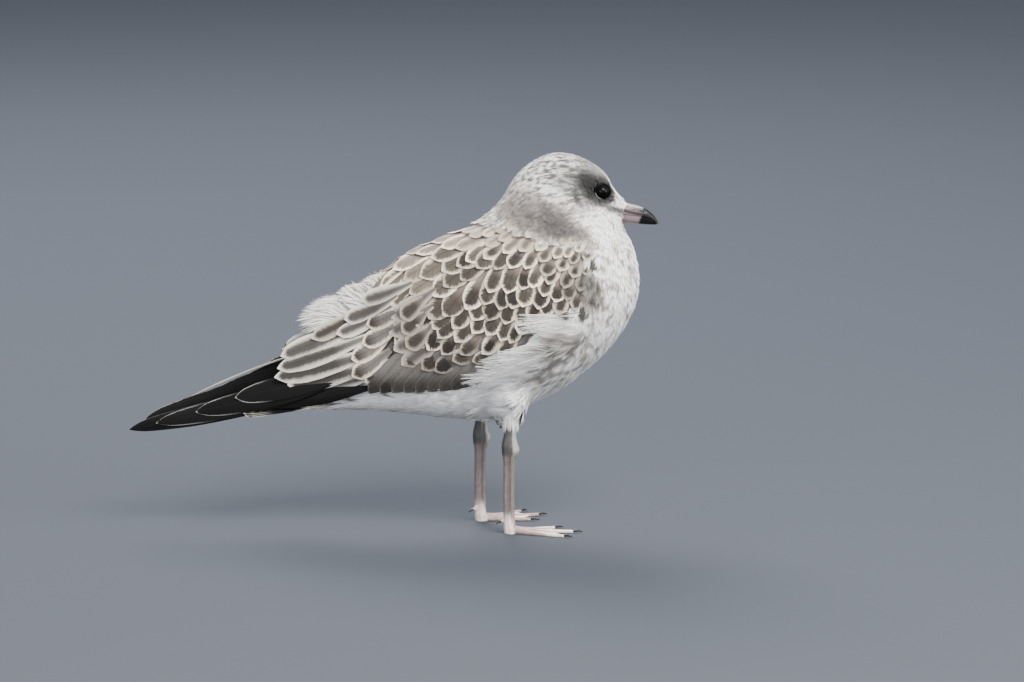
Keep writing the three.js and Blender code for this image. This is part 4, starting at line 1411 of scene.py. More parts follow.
@dataclass(frozen=True)
class Legs:
    """Both bare legs and webbed feet: plated in front, netted with small scales elsewhere."""

    pair: tuple[Leg, ...] = (Leg(-1, 1.5, 21.5, 4), Leg(1, -19.0, 22.5, 22))
    toes: tuple[Toe, ...] = (Toe(33, -24), Toe(42, 1), Toe(38, 25))
    toe_root: float = 2.0
    plate: float = 1.8  # height of a plate on the front of the leg
    toe_plate: float = 1.7
    rise: float = 0.3
    foot_top: float = 12.0
    ankle: float = 61.5
    joint: float = 59.5  # height over the floor of the bump in front of the ankle
    bump: float = 1.3  # how far it stands out
    thicker: float = 0.35  # what the scaled skin adds to the shank
    thigh: str = "#6a6965"
    knob: str = "#c0beba"
    shank: str = "#95827f"
    rear: str = "#aba29e"
    front: str = "#aca7a0"
    # groove: the dark of the seams between the plates, and painted shade in the groove behind them
    groove: str = "#4d4645"
    toe: str = "#cbbfbd"
    web: str = "#dad5d3"
    crease: str = "#8f8080"

    def build(self, legs: Thing, voxel: float, rounds: int) -> Thing:
        """Smooths the leg solids, raises their plates and paints them.

        Args:
            legs: the joined solids.
            voxel: the size of the new mesh in millimetres.
            rounds: rounds of smoothing.
        Returns:
            The same piece.
        """
        modified(legs, "DISPLACE", strength=0.2 * MM, mid_level=0.0)
        modified(legs, "REMESH", mode="VOXEL", voxel_size=voxel * MM)
        modified(legs, "SMOOTH", factor=0.5, iterations=rounds)
        surface = Surface(*arrays_of(legs))
        places, normals, z = surface.places, surface.normals, surface.places[:, 2]
        height, tint = np.zeros(len(z)), np.tile(ink(self.shank), (len(z), 1))
        for leg in self.pair:
            mine = places[:, 1] * leg.side > 0
            ahead, out = leg.local(places)
            facing = unit(np.stack([ahead, out], 1))[:, 0]
            on_shank = eased(self.foot_top - 3, self.foot_top + 2, z) * mine
            # a row of plates in front, a groove behind them, pressed in and painted dark as shade, then
            # smooth skin
            front = eased(0.12, 0.3, facing) * on_shank
            groove = np.exp(-(((facing - 0.05) / 0.16) ** 2)) * on_shank
            seam = self._seams(z + 0.25 * np.abs(out), self.plate)
            knob = np.exp(-(((z - self.ankle) / 6) ** 2))
            joint = np.exp(-(((z - self.joint) / 3.2) ** 2)) * eased(0.1, 0.8, facing) * mine
            plated = (self.rise * front * (seam - 0.6) - 0.25 * groove) * (1 - knob)
            height += self.bump * joint + self.thicker * on_shank + plated
            shade = mixed(ink(self.groove), ink(self.front), seam)
            tint = mixed(tint, ink(self.rear), eased(-0.3, -0.8, facing) * on_shank)
            tint = mixed(tint, shade, front)
            tint = mixed(tint, ink(self.groove), 0.8 * groove)
            upper = mixed(ink(self.thigh), ink(self.knob), eased(0.35, 0.65, facing))
            tint = mixed(tint, upper, mine * eased(54, 58, z))
            foot = mine * eased(self.foot_top + 6, self.foot_top - 4, z)
            over_toe, plates = self._on_toes(ahead, out)
            pale = mixed(ink(self.web), ink(self.toe), over_toe)
            pale = mixed(pale, ink(self.crease), 0.6 * over_toe * (1 - plates))
            tint = mixed(tint, pale, foot)
            top = eased(0.1, 0.6, normals[:, 2]) * foot
            height += self.rise * top * over_toe * (plates - 0.5)
        places = places + normals * height[:, None]
        places[:, 2] = np.maximum(places[:, 2], 0.0)
        moved(legs, places)
        paint(legs, "Ink", tint * (0.9 + 0.2 * grain(places, 2.2, 11))[:, None])
        return legs

    def _seams(self, run: Array, pitch: float) -> Array:
        """Rounded plates one after another: 1 on each plate and 0 in the seams between."""
        return eased(0.1, 0.8, np.abs(np.sin(np.pi * run / pitch)))

    def _on_toes(self, ahead: Array, out: Array) -> tuple[Array, Array]:
        """How much places belong to a toe, and the plates along it."""
        over, plates = np.zeros(len(ahead)), np.ones(len(ahead))
        for toe in self.toes:
            turn = math.radians(toe.spread)
            x = ahead - self.toe_root
            along = x * math.cos(turn) + out * math.sin(turn)
            off = np.abs(out * math.cos(turn) - x * math.sin(turn))
            share = eased(2.9, 1.5, off) * (along > -2)
            plates = np.where(share > over, self._seams(along, self.toe_plate), plates)
            over = np.maximum(over, share)
        return over, plates


@dataclass(frozen=True)
class Lid:
    """The rim round one eye: a thin fleshy ring, dark in front and pale above, behind and below."""

    side: int
    long: float = 5.5
    high: float = 5.35
    thick: float = 0.4
    dark: str = "#0e0e0e"
    pale: str = "#9a9895"
    pale_below: float = 134.0  # degrees round the rim, from the front
    pale_above: float = 115.0

    def build(self, surface: Surface) -> Thing:
        """Lays a ring on the surface round the eye.

        Args:
            surface: the outer form.
        Returns:
            The ring.
        """
        middle = np.array([[EYE.x, EYE.y * self.side, EYE.z]])
        out = gaze(surface, self.side)
        bpy.ops.object.select_all(action="DESELECT")
        bpy.ops.mesh.primitive_torus_add(
            major_segments=48, minor_segments=10, major_radius=self.high * MM, minor_radius=self.thick * MM
        )
        ring = bpy.context.object
        ring.name = f"lid_{'right' if self.side < 0 else 'left'}"
        local, _ = arrays_of(ring)
        local = local + STANCE.shift
        forward = unit(np.array([1.0, 0, 0]) - out * out[0])
        up = np.cross(out, forward) * -self.side
        turn = np.arctan2(local[:, 1], local[:, 0])
        stretch = self.long / self.high
        flat = local[:, :1] * forward * stretch + local[:, 1:2] * up
        bulk = 1 + 0.25 * np.sin(turn) ** 2
        places = middle + flat + out * (local[:, 2:] * bulk[:, None] + self._stands(flat))
        moved(ring, places)
        below = eased(0.62, 0.95, np.cos(turn + math.radians(self.pale_below)))
        above = eased(0.8, 0.97, np.cos(turn - math.radians(self.pale_above))) * 0.25
        tint = mixed(shade(self.dark), shade(self.pale), np.maximum(below, above))
        paint(ring, "Ink", reflectance(tint))
        return ring

    def _stands(self, flat: Array) -> Array:
        """How far out the ring lies, so that it hugs the round eye."""
        gap = np.linalg.norm(flat, axis=1, keepdims=True)
        return np.sqrt(np.maximum(EYE.radius**2 - np.minimum(gap, 5.25) ** 2, 1.0)) + 0.25


def gaze(surface: Surface, side: int) -> Array:
    """The way an eye looks: out of the head's side, and a little forwards."""
    normal = surface.nearest(np.array([[EYE.x, 30.0 * side, EYE.z]]))[1][0]
    return unit(normal * (0.5, 1, 0.35) + (0.05, 0, 0))


# ---- Soft plumage ----


@dataclass(frozen=True)
class Tract:
    """One stretch of soft plumage, picked by place, with the make of its feathers."""

    name: str
    slot: str
    fingers: int
    broad: float  # width of a feather over the spacing
    picks: Callable[[Array], Array]
    lift: float  # highest tip over the depth of the coat


def _face(p: Array) -> Array:
    """The lores, cheeks and chin."""
    return (p[:, 0] > 52) & (p[:, 2] > 206 + 0.25 * (p[:, 0] - 52))


def _crown(p: Array) -> Array:
    """Crown, nape and ear coverts."""
    return ~_face(p) & (p[:, 2] > 222)


def _thigh(p: Array) -> Array:
    """The feathered cuffs of both legs."""
    near = np.minimum(np.abs(p[:, 0] - 1), np.abs(p[:, 0] + 19) + 40 * (p[:, 1] < 0))
    return (near < 15) & (np.abs(np.abs(p[:, 1]) - 22) < 13) & (p[:, 2] < 87)


def _neck(p: Array) -> Array:
    """The ring of the neck down to the breast."""
    return ~_face(p) & ~_crown(p) & (p[:, 2] > 196)


def _breast(p: Array) -> Array:
    """The breast in front of the wings."""
    return (p[:, 2] <= 196) & (p[:, 0] > 58)


def _flank(p: Array) -> Array:
    """Flanks and lower breast."""
    return (p[:, 2] <= 196) & (p[:, 0] <= 58) & (p[:, 0] > 12) & ~_thigh(p)


def _belly(p: Array) -> Array:
    """Belly and vent."""
    low = (p[:, 2] <= 140) & (p[:, 0] <= 12) & (p[:, 0] > -62)
    return low & ~_thigh(p)


def _rear(p: Array) -> Array:
    """Undertail, rump and what little of the back has soft feathers."""
    return ~(_face(p) | _crown(p) | _neck(p) | _breast(p) | _flank(p) | _belly(p) | _thigh(p))


TRACTS = (
    Tract("feathers_face", "coat_head", 3, 2.0, _face, 0.1),
    Tract("feathers_crown", "coat_head", 5, 2.1, _crown, 0.15),
    Tract("feathers_neck", "coat_body", 7, 2.2, _neck, 0.2),
    Tract("feathers_breast", "coat_body", 9, 2.4, _breast, 0.3),
    Tract("feathers_flank", "coat_body", 9, 2.4, _flank, 0.3),
    Tract("feathers_belly", "coat_body", 9, 2.4, _belly, 0.3),
    Tract("feathers_rear", "coat_body", 7, 2.4, _rear, 0.3),
    Tract("feathers_thigh", "coat_body", 5, 2.2, _thigh, 1.2),
)


@dataclass
class SoftPlumage:
    """All the small loose feathers of head, neck, breast, belly, rump and thighs."""

    surface: Surface
    variants: int = 4
    crowding: int = 6  # candidates for each feather that stays
    nearest: float = 0.86  # least distance of two roots over the spacing
    bill_base: Place = (84.5, 0.0, 221.5)
    bill_room: float = 6.0

    def build(self) -> None:
        """Makes every tract."""
        middles = self.surface.places[self.surface.faces].mean(1)
        soft = rim_distance(SCALY, middles[:, 0], middles[:, 2]) < -0.5
        soft &= (rim_distance(COVERTS, middles[:, 0], middles[:, 2]) < -1.5) | (np.abs(middles[:, 1]) < 16)
        away = np.linalg.norm(middles[:, [0, 2]] - (EYE.x, EYE.z), axis=1) > EYE.opening
        soft &= away | (np.abs(middles[:, 1]) < 8)
        soft &= np.linalg.norm(middles - self.bill_base, axis=1) > self.bill_room
        for number, tract in enumerate(TRACTS):
            rng = np.random.default_rng(SEED + number)
            self._tract(tract, soft & tract.picks(middles), rng)

    def _tract(self, tract: Tract, use: Array, rng: Rng) -> None:
        """Sets one tract's feathers out and lays them down."""
        middles = self.surface.places[self.surface.faces[use]].mean(1)
        spacing = LIE.at(middles)[2]
        needed = (self.surface.areas[use] / (spacing**2 * 0.9)).sum()
        roots, _ = self.surface.strewn(int(needed * self.crowding), rng, use)
        roots = roots[spread_out(roots, LIE.at(roots)[2] * self.nearest)]
        _, length, spacing, depth = LIE.at(roots)
        count = len(roots)
        length = length * rng.uniform(0.85, 1.12, count) * self._by_eye(roots)
        spine, normal, side = walked(self.surface, roots, length, rng.normal(0, 0.07, count))
        steady = (normal[:, 0] * normal[:, -1]).sum(1) > 0.45
        width = spacing * tract.broad * rng.uniform(0.88, 1.12, count)
        lift = tract.lift * depth * rng.uniform(-0.2, 1.0, count)
        growth = Growth(spine, normal, side, width, depth * 0.85, lift, rng.uniform(-0.14, 0.14, count))
        growth = growth.some(steady)
        coat = Coat(tract.name, tract.slot, SOFT)
        kinds = rng.integers(0, self.variants, len(growth))
        coat.add_kinds([plume(tract.fingers, rng) for _ in range(self.variants)], kinds, growth)
        coat.made()

    @staticmethod
    def _by_eye(roots: Array) -> Array:
        """Shortens feathers that lie close to an eye."""
        gap = np.linalg.norm(roots[:, [0, 2]] - (EYE.x, EYE.z), axis=1) - EYE.opening
        near = np.exp(-np.maximum(gap, 0) / 2.5) * (np.abs(roots[:, 1]) > 8)
        return 1 - 0.55 * near


@dataclass
class ThighCuffs:
    """Loose feathers that hang round the top of each leg."""

    count: int = 170
    top: float = 91.5
    fall: float = 7.0  # how much lower the lowest roots lie
    radius: float = 7.4
    foot_radius: float = 4.6
    length: float = 11.0
    ahead: float = 1.4  # how far the highest roots lie in front of the leg

    def build(self) -> None:
        """Hangs the feathers round both legs."""
        rng = np.random.default_rng(SEED + 31)
        coat, up = Coat("feathers_cuffs", "coat_body", SOFT), np.array([0.0, 0.0, 1.0])
        for leg in Legs.pair:
            low = rng.random(self.count)
            turn = rng.uniform(-math.pi, math.pi, self.count)
            out = np.stack([np.cos(turn), np.sin(turn), 0 * turn], 1)
            foot = np.array([leg.x, leg.y * leg.side, self.top - self.fall - self.length])
            reach = self.radius + (self.foot_radius + 1 - self.radius) * low
            start = foot + out * reach[:, None] + up * (self.length + self.fall * (1 - low))[:, None]
            start += np.array([self.ahead, 0, 0]) * (1 - low)[:, None]
            end = foot + out * (self.foot_radius + rng.normal(0, 0.5, self.count))[:, None]
            end += up * (self.fall * (1 - low) * 0.8 + rng.normal(0.4, 1.0, self.count))[:, None]
            growth = Growth.straight(
                start, end, out,
                width=rng.uniform(3.0, 4.4, self.count),
                sunk=1.2,
                lift=rng.uniform(0, 0.9, self.count),
                layer=rng.uniform(-0.1, 0.1, self.count),
            )  # fmt: skip
            coat.add(plume(7, rng, 0.22, 0.16, split=0.5), growth)
        coat.made()


@dataclass
class BillRim:
    """Tiny feathers that run back from the bill's base onto the face, furthest forward on top."""

    count: int = 520
    x: float = 79.6
    z: float = 223.5
    half_wide: float = 5.5
    half_high: float = 7.6
    length: float = 4.4
    ridge: float = 4.4  # how far the feathers reach forwards on the ridge
    chin: float = 1.6  # how far they draw back under the chin
    slant: float = 0.42  # how far they stand off the head, over their run back

    def build(self) -> None:
        """Sets the feathers round the bill."""
        rng, count = np.random.default_rng(SEED + 30), self.count
        turn = rng.uniform(-math.pi, math.pi, count)  # 0 on the ridge
        fore = self.ridge * np.exp(-((turn / 0.9) ** 2)) + rng.uniform(-1.8, 0.5, count)
        fore -= self.chin * np.exp(-(((np.abs(turn) - math.pi) / 0.7) ** 2))
        out = np.stack([0 * turn, np.sin(turn) / self.half_wide, np.cos(turn) / self.half_high], 1)
        start = np.stack([0 * turn, np.sin(turn) * self.half_wide, np.cos(turn) * self.half_high], 1)
        start += (self.x, 0, self.z) + np.stack([fore, 0 * fore, -0.25 * fore], 1)
        end = start + unit(np.array([-1, 0, 0]) + self.slant * unit(out)) * self.length
        growth = Growth.straight(
            start, end, out,
            width=rng.uniform(1.6, 2.4, count),
            sunk=0.45,
            lift=rng.uniform(0, 0.3, count),
            layer=rng.uniform(-0.1, 0.1, count),
        )  # fmt: skip
        coat = Coat("feathers_bill_rim", "coat_head", SOFT)
        coat.add(plume(3, rng), growth)
        coat.made()


# ---- The scaly feathers of the wings and mantle ----


@dataclass(frozen=True)
class ScaleSize:
    """How far apart the scaly feathers lie near one place seen from the side."""

    x: float
    z: float
    row: float
    width: float


SCALE_SIZES = (
    ScaleSize(0, 220, 2.8, 3.9), ScaleSize(35, 210, 2.8, 3.8), ScaleSize(58, 205, 3.2, 3.9),
    ScaleSize(-14, 226, 3.6, 4.6), ScaleSize(14, 204, 7.5, 7), ScaleSize(-20, 218, 7.5, 7.5),
    ScaleSize(54, 185, 7.5, 6.5), ScaleSize(48, 168, 8, 6.5), ScaleSize(30, 190, 13.5, 10.5),
    ScaleSize(0, 192, 17, 13),
    ScaleSize(-30, 190, 18, 13), ScaleSize(-60, 190, 20, 13), ScaleSize(-44, 207, 14, 11.5),
    ScaleSize(-80, 178, 21, 13), ScaleSize(22, 170, 12, 9.5), ScaleSize(-10, 168, 14, 11.5),
    ScaleSize(-40, 165, 14, 12), ScaleSize(-60, 145, 12, 10), ScaleSize(-20, 143, 10.5, 8.5),
    ScaleSize(2, 152, 9.5, 8),
)  # fmt: skip


@dataclass(frozen=True)
class Vanes:
    """The colours and fringe of one sort of firm feather."""

    inks: tuple[str, ...]
    fringe: str
    bright: str
    fringe_mm: float

    def colours(self, rng: Rng, width: Array, length: Array) -> dict[str, Array]:
        """Ink, fringe and trim for each feather."""
        count = len(width)
        shades = np.array([ink(code) for code in self.inks])
        pick = rng.random(count) * (len(shades) - 1.001)
        low = pick.astype(int)
        centre = mixed(shades[low], shades[low + 1], pick - low)
        fringe = mixed(ink(self.fringe), ink(self.bright), rng.random(count))
        share = np.minimum(self.fringe_mm / (width / 2), 0.34) * rng.uniform(0.8, 1.2, count)
        slender = length / (width / 2) / 10
        return {"Ink": centre, "Fringe": fringe, "Trim": np.stack([share, slender, rng.random(count)], 1)}


@dataclass
class Scales:
    """Mantle, scapular and covert feathers, each a firm vane with a cream fringe."""

    surface: Surface
    vanes: Vanes = Vanes(("#5f5750", "#7e756c", "#6b635b", "#514a44"), "#c6c1b8", "#e0dcd5", 1.6)
    hood: str = "#aca69f"  # what the smallest feathers fade to next to the neck
    hood_rim: str = "#bab5ae"
    rear: str = "#cdc8c0"  # what the rear and topmost ones fade to
    low_rim: str = "#a8a29a"  # fringes by the flank and breast
    rounds: int = 70
    overlap: float = 2.15  # length over the spacing of the rows
    broad: float = 1.32  # width over the spacing of the columns
    variants: int = 5
    set_back: float = 0.62  # share of a feather that lies behind the place where it shows
    nearest: float = 0.82  # least distance of two roots over the spacing
    touching: float = 1.25  # distance over the spacing within which two roots push each other
    staggered: float = 1.1547  # spacing of rows in an even net over the spacing in a square one

    def build(self) -> None:
        """Sets the feathers out evenly and lays them down in rows."""
        rng = np.random.default_rng(SEED + 40)
        roots = self._even(rng)
        row, width = self._sizes(roots)
        count = len(roots)
        length = row * self.overlap * rng.uniform(0.92, 1.1, count)
        width = width * self.broad * rng.uniform(0.92, 1.1, count)
        # the places found are where the tips show, so the roots lie back against the lie
        normals = self.surface.nearest(roots)[1]
        back = roots - LIE.along(roots, normals) * (length * self.set_back)[:, None]
        spine, normal, side = walked(self.surface, back, length, rng.normal(0, 0.09, count))
        full = eased(3, 10, row)  # the small feathers by the hood lie flatter
        lift = rng.uniform(0.1, 0.45, count) * full + 0.8
        growth = Growth(spine, normal, side, width, 2.7 * full + 0.3, lift, rng.uniform(-0.1, 0.1, count))
        coat = Coat("feathers_scaly", "coat_wing", VANE)
        colours = self.vanes.colours(rng, width, length)
        x, _, z = roots.T
        fade = eased(14, 2, rim_distance(SCALY, x, z)) * eased(196, 206, z) * rng.uniform(0.5, 1.0, count)
        colours["Ink"] = mixed(colours["Ink"], ink(self.hood), fade)
        colours["Fringe"] = mixed(colours["Fringe"], ink(self.hood_rim), fade * 0.8)
        pale = np.maximum(0.5 * eased(-25, -60, x), eased(198, 214, z)) * eased(165, 185, z)
        colours["Ink"] = mixed(colours["Ink"], ink(self.rear), pale * rng.uniform(0.45, 0.9, count))
        dull = np.maximum(eased(142, 118, z), eased(32, 46, x) * eased(206, 196, z))
        colours["Fringe"] = mixed(colours["Fringe"], ink(self.low_rim), dull * rng.uniform(0.4, 0.9, count))
        colours["Trim"][:, 0] *= 1 + 0.5 * pale
        kinds = rng.integers(0, self.variants, count)
        patterns = [SCALE_FORM.pattern(rng) for _ in range(self.variants)]
        coat.add_kinds(patterns, kinds, growth, **colours)
        coat.made()

    @staticmethod
    def _sizes(places: Array) -> tuple[Array, Array]:
        """Row and column spacing at places."""
        knots = np.array([(s.x, s.z) for s in SCALE_SIZES], float)
        values = np.array([(s.row, s.width) for s in SCALE_SIZES])
        gap = np.linalg.norm(places[:, None, [0, 2]] - knots[None], axis=2)
        weight = np.exp(-((gap / 15) ** 2) / 2) + 1e-9 / (1 + gap)
        blend = weight @ values / weight.sum(1, keepdims=True)
        return blend[:, 0], blend[:, 1]

    def _even(self, rng: Rng) -> Array:
        """Strews places and pushes neighbours apart until they lie evenly."""
        middles = self.surface.places[self.surface.faces].mean(1)
        use = rim_distance(SCALY, middles[:, 0], middles[:, 2]) > 0.5
        row, width = self._sizes(middles)
        number = int((self.surface.areas * use / (row * width)).sum())
        many, _ = self.surface.strewn(number * 30, rng, use)
        row, width = self._sizes(many)
        places = many[spread_out(many, np.sqrt(row * width) * self.nearest)[: number + 10]]
        for step in range(self.rounds):
            row, width = self._sizes(places)
            places, normals = self.surface.nearest(places)
            lie = LIE.along(places, normals)
            side = np.cross(lie, normals)
            gaps = places[:, None] - places[None]
            along = (gaps * lie[:, None]).sum(2) / (row * self.staggered)[:, None]
            across = (gaps * side[:, None]).sum(2) / width[:, None]
            deep = (gaps * normals[:, None]).sum(2) / width[:, None]
            size = np.sqrt(along**2 + across**2 + deep**2) + 1e-6
            push = np.where(size < self.touching, (self.touching - size) ** 2 / size, 0.0)
            np.fill_diagonal(push, 0)
            shift = lie * ((along * push).sum(1) * row)[:, None]
            shift += side * ((across * push).sum(1) * width)[:, None]
            places = places + shift * (0.34 * (1 - step / self.rounds) + 0.05)
            inside = rim_distance(SCALY, places[:, 0], places[:, 2])
            over = np.minimum(inside - 1.0, 0)
            centre = unit(np.array([-15.0, 180.0]) - places[:, [0, 2]])
            places[:, [0, 2]] -= centre * over[:, None]
        return places


# ---- Long feathers, one by one ----


@dataclass(frozen=True)
class Quill:
    """One long feather by its place seen from the side, in millimetres.

    Level is its height over the base surface, sag how far its middle hangs below the straight
    line, trim the width of its fringe and lift how far its tip stands off.
    """

    root: Spot
    tip: Spot
    width: float
    level: float
    sag: float
    ink: str
    fringe: str
    trim: float = 2.0
    lift: float = 0.4


class Sheet:
    """A smooth sheet over one side of the gull, for long feathers that must not buckle."""

    pitch = 4.0  # of its grid
    filling, evening = 150, 14  # rounds that fill what is missed, and that smooth the whole
    step = 2.0  # over which a slope is read

    def __init__(self, surface: Surface, side: int, low: tuple[int, int], high: tuple[int, int]) -> None:
        """Reads how far out the surface lies, fills what it misses, and evens it out."""
        self.side, self.low = side, low
        x, z = (np.arange(a, b + self.pitch, self.pitch) for a, b in zip(low, high))
        grid_x, grid_z = np.meshgrid(x, z, indexing="ij")
        out = surface.sideways(grid_x.ravel(), grid_z.ravel(), side).reshape(grid_x.shape)
        known = ~np.isnan(out)
        self.out = np.where(known, out, out[known].mean())
        for _ in range(self.filling):
            self.out = np.where(known, out, self._even(self.out))
        for _ in range(self.evening):
            self.out = self._even(self.out)

    @staticmethod
    def _even(out: Array) -> Array:
        """Every value blended with its neighbours."""
        wide = np.pad(out, 1, mode="edge")
        return (wide[:-2, 1:-1] + wide[2:, 1:-1] + wide[1:-1, :-2] + wide[1:-1, 2:] + out) / 5

    def at(self, x: Array, z: Array) -> tuple[Array, Array]:
        """Places on the sheet and its normals, at places seen from the side."""
        y, ahead, over = self._read(x, z), self._read(x + self.step, z), self._read(x, z + self.step)
        run, rise = (ahead - y) / self.step, (over - y) / self.step
        normal = unit(np.stack([-run, np.ones(len(x)), -rise], 1)) * self.side
        return np.stack([x, y, z], 1), normal

    def _read(self, x: Array, z: Array) -> Array:
        """The sheet's Y between its four nearest grid places."""
        size = np.array(self.out.shape)
        at = (np.stack([x, z], 1) - self.low) / self.pitch
        at = np.clip(at, 0, size - 1.001)
        i, j = at.astype(int).T
        s, t = (at - at.astype(int)).T
        low = self.out[i, j] * (1 - t) + self.out[i, j + 1] * t
        high = self.out[i + 1, j] * (1 - t) + self.out[i + 1, j + 1] * t
        return low * (1 - s) + high * s


@dataclass
class Quills:
    """A group of long feathers laid over one another on one sheet."""

    name: str
    slot: str
    finish: Finish
    sheet: Sheet
    form: VaneForm
    stations: int = 12
    facing: int = 1  # -1 for feathers seen from the body's side

    def growth(self, quills: Sequence[Quill]) -> Growth:
        """Finds each feather's spine on the sheet."""
        spines, normals, sides = [], [], []
        for quill in quills:
            t = np.linspace(0, 1, self.stations)
            (x0, z0), (x1, z1) = quill.root, quill.tip
            x, z = x0 + (x1 - x0) * t, z0 + (z1 - z0) * t - 4 * quill.sag * t * (1 - t)
            spine, normal = self.sheet.at(x, z)
            run = unit(np.gradient(spine, axis=0))
            normal = unit(normal - run * (normal * run).sum(1)[:, None]) * self.facing
            spines.append(spine + normal * quill.level)
            normals.append(normal)
            sides.append(unit(np.cross(run, normal)))
        width, lift = (np.array([getattr(q, name) for q in quills]) for name in ("width", "lift"))
        return Growth(np.array(spines), np.array(normals), np.array(sides), width, lift=lift)

    def build(self, quills: Sequence[Quill], *replaced: str) -> None:
        """Makes the group's feathers as one piece.

        Args:
            quills: the feathers.
            replaced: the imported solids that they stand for.
        """
        rng = np.random.default_rng(SEED + 60 + len(quills))
        growth = self.growth(quills)
        length = np.linalg.norm(growth.spine[:, -1] - growth.spine[:, 0], axis=1)
        half = growth.width / 2
        jitter = rng.uniform(0.93, 1.06, (len(quills), 1))
        centre = np.array([ink(q.ink) for q in quills]) * jitter
        fringe = np.array([ink(q.fringe) for q in quills])
        share = np.array([q.trim for q in quills]) / half
        trim = np.stack([share, length / half / 10, rng.random(len(quills))], 1)
        coat = Coat(self.name, self.slot, self.finish)
        for n in range(len(quills)):
            one = np.arange(len(quills)) == n
            own = {"Ink": centre[one], "Fringe": fringe[one], "Trim": trim[one]}
            coat.add(self.form.pattern(rng), growth.some(one), **own)
        coat.made(*replaced)


PALE, CREAM = "#d2d0cc", "#cbc8c1"
TERTIALS = (
    Quill((-95, 112), (-149, 101.5), 15, 0.4, 2.5, "#a5a29d", "#dad9d6", 2.6),
    Quill((-92, 122), (-154, 104.8), 15, 1.1, 2.0, "#6b6762", PALE, 2.1),
    Quill((-92, 131), (-163, 110), 15, 1.8, 2.0, "#64605b", PALE, 2.0),
    Quill((-95, 141), (-161, 116), 14.5, 2.5, 1.5, "#6e6a65", PALE, 2.0),
    Quill((-96, 151), (-158.6, 124.5), 15, 3.2, 1.0, "#78746e", PALE, 2.0),
    Quill((-92, 161), (-137, 137), 13, 4.0, 1.2, "#665f58", CREAM, 2.0, 1.2),
    Quill((-78, 163), (-119, 140), 13, 4.4, 2.0, "#7b7670", PALE, 2.0, 0.8),
    Quill((-76, 169), (-113.4, 150), 13.5, 4.8, 2.4, "#7a746e", PALE, 1.8, 1.4),
    Quill((-66, 178), (-101, 163.5), 13, 5.0, 1.5, "#8b8680", PALE, 2.0, 1.2),
)
EDGE = "#b0aeab"
NEAR_PRIMARIES = (
    Quill((-96, 104), (-176, 91), 11, -0.6, 1.0, "#1c1c1c", "#333333", 0.4),
    Quill((-112, 112), (-266, 69.5), 16, -0.4, 1.5, "#262626", "#77767a", 0.5),
    Quill((-110, 114), (-247, 74.6), 16, 0.5, 1.5, "#2a2a2a", EDGE, 0.9),
    Quill((-108, 116), (-219, 83.5), 17, 1.4, 1.5, "#1f1f1f", EDGE, 0.9),
    Quill((-106, 119), (-191, 94.5), 18, 2.3, 1.0, "#232323", "#b7b5b2", 1.0),
)
FAR_PRIMARIES = (
    Quill((-112, 110), (-254, 77.2), 15, -0.4, -5.0, "#232323", EDGE, 0.4),
    Quill((-110, 112), (-239, 82.2), 15, 0.4, -5.0, "#272727", "#c9c7c4", 0.6),
    Quill((-108, 114), (-214, 91.0), 16, 1.2, -6.0, "#222222", "#b7b5b2", 0.5),
    Quill((-100, 118), (-188, 103.0), 17, 2.0, -5.0, "#262626", EDGE, 0.5),
    Quill((-96, 121), (-172, 113), 18, 2.8, -3.0, "#2a2a2a", EDGE, 0.5),
)
LINING_INKS = ("#2a2a2a", "#242424", "#2b2b2b", "#252525", "#2d2d2d")
LININGS = (
    *(replace(q, level=-0.6 * i, ink=LINING_INKS[i]) for i, q in enumerate(FAR_PRIMARIES)),
    Quill((-122, 132), (-222, 94), 1.5, 0.5, -3.4, "#c4c2be", "#c4c2be", 0.4),
)


GREATER_INKS = ("#5a5550", "#4b4642", "#67625d", "#5e5954", "#6b6661")


def tipped_coverts() -> list[Quill]:
    """Greater coverts, plain grey and darker at their ends, and the longer ones behind them."""
    rows = []
    for i in range(15):  # the plain grey ones, from the rear forwards
        x, z = -97 + 8.3 * i, 100.6 + 0.15 * i + 0.0075 * i**3
        tone = GREATER_INKS[min(i, 2) + (i > 2) * (i % 3)]
        edge = "#928e89" if i < 6 else "#7d7974"
        rows.append(Quill((x + 30, z + 36), (x, z), 13.5, 0.16 * (14 - i), 1.0, tone, edge, 0.9, 2.4))
    tips = ((-99.4, 108.3), (-108.5, 112.8), (-108.5, 124), (-101, 134.5), (-97.5, 147))
    for i, (x, z) in enumerate(tips):
        root = (x + 27, z + 20 - 1.5 * i)
        rows.append(Quill(root, (x, z), 13, 2.2 + 0.5 * i, 1.0, "#645c55", "#d6d2ca", 1.6, 0.9))
    return rows


def coverts() -> list[Quill]:
    """The median coverts over them: pale ones from the lowest up, and darker ones on top."""
    rows = []
    for i, (x, z) in enumerate(((-74, 121), (-79, 131), (-82, 142), (-80, 153))):
        rows.append(Quill((x + 30, z + 22), (x, z), 14, 2.6 + 0.5 * i, 0.5, "#8d8883", "#c8c4be", 2.2))
    for i, (x, z) in enumerate(((-70, 134), (-72.8, 144.3), (-73.5, 154.5))):
        rows.append(Quill((x + 16, z + 14), (x, z), 13.5, 3.7 + 0.4 * i, 0.5, "#716961", "#c6c1b9", 1.6, 0.9))
    return rows


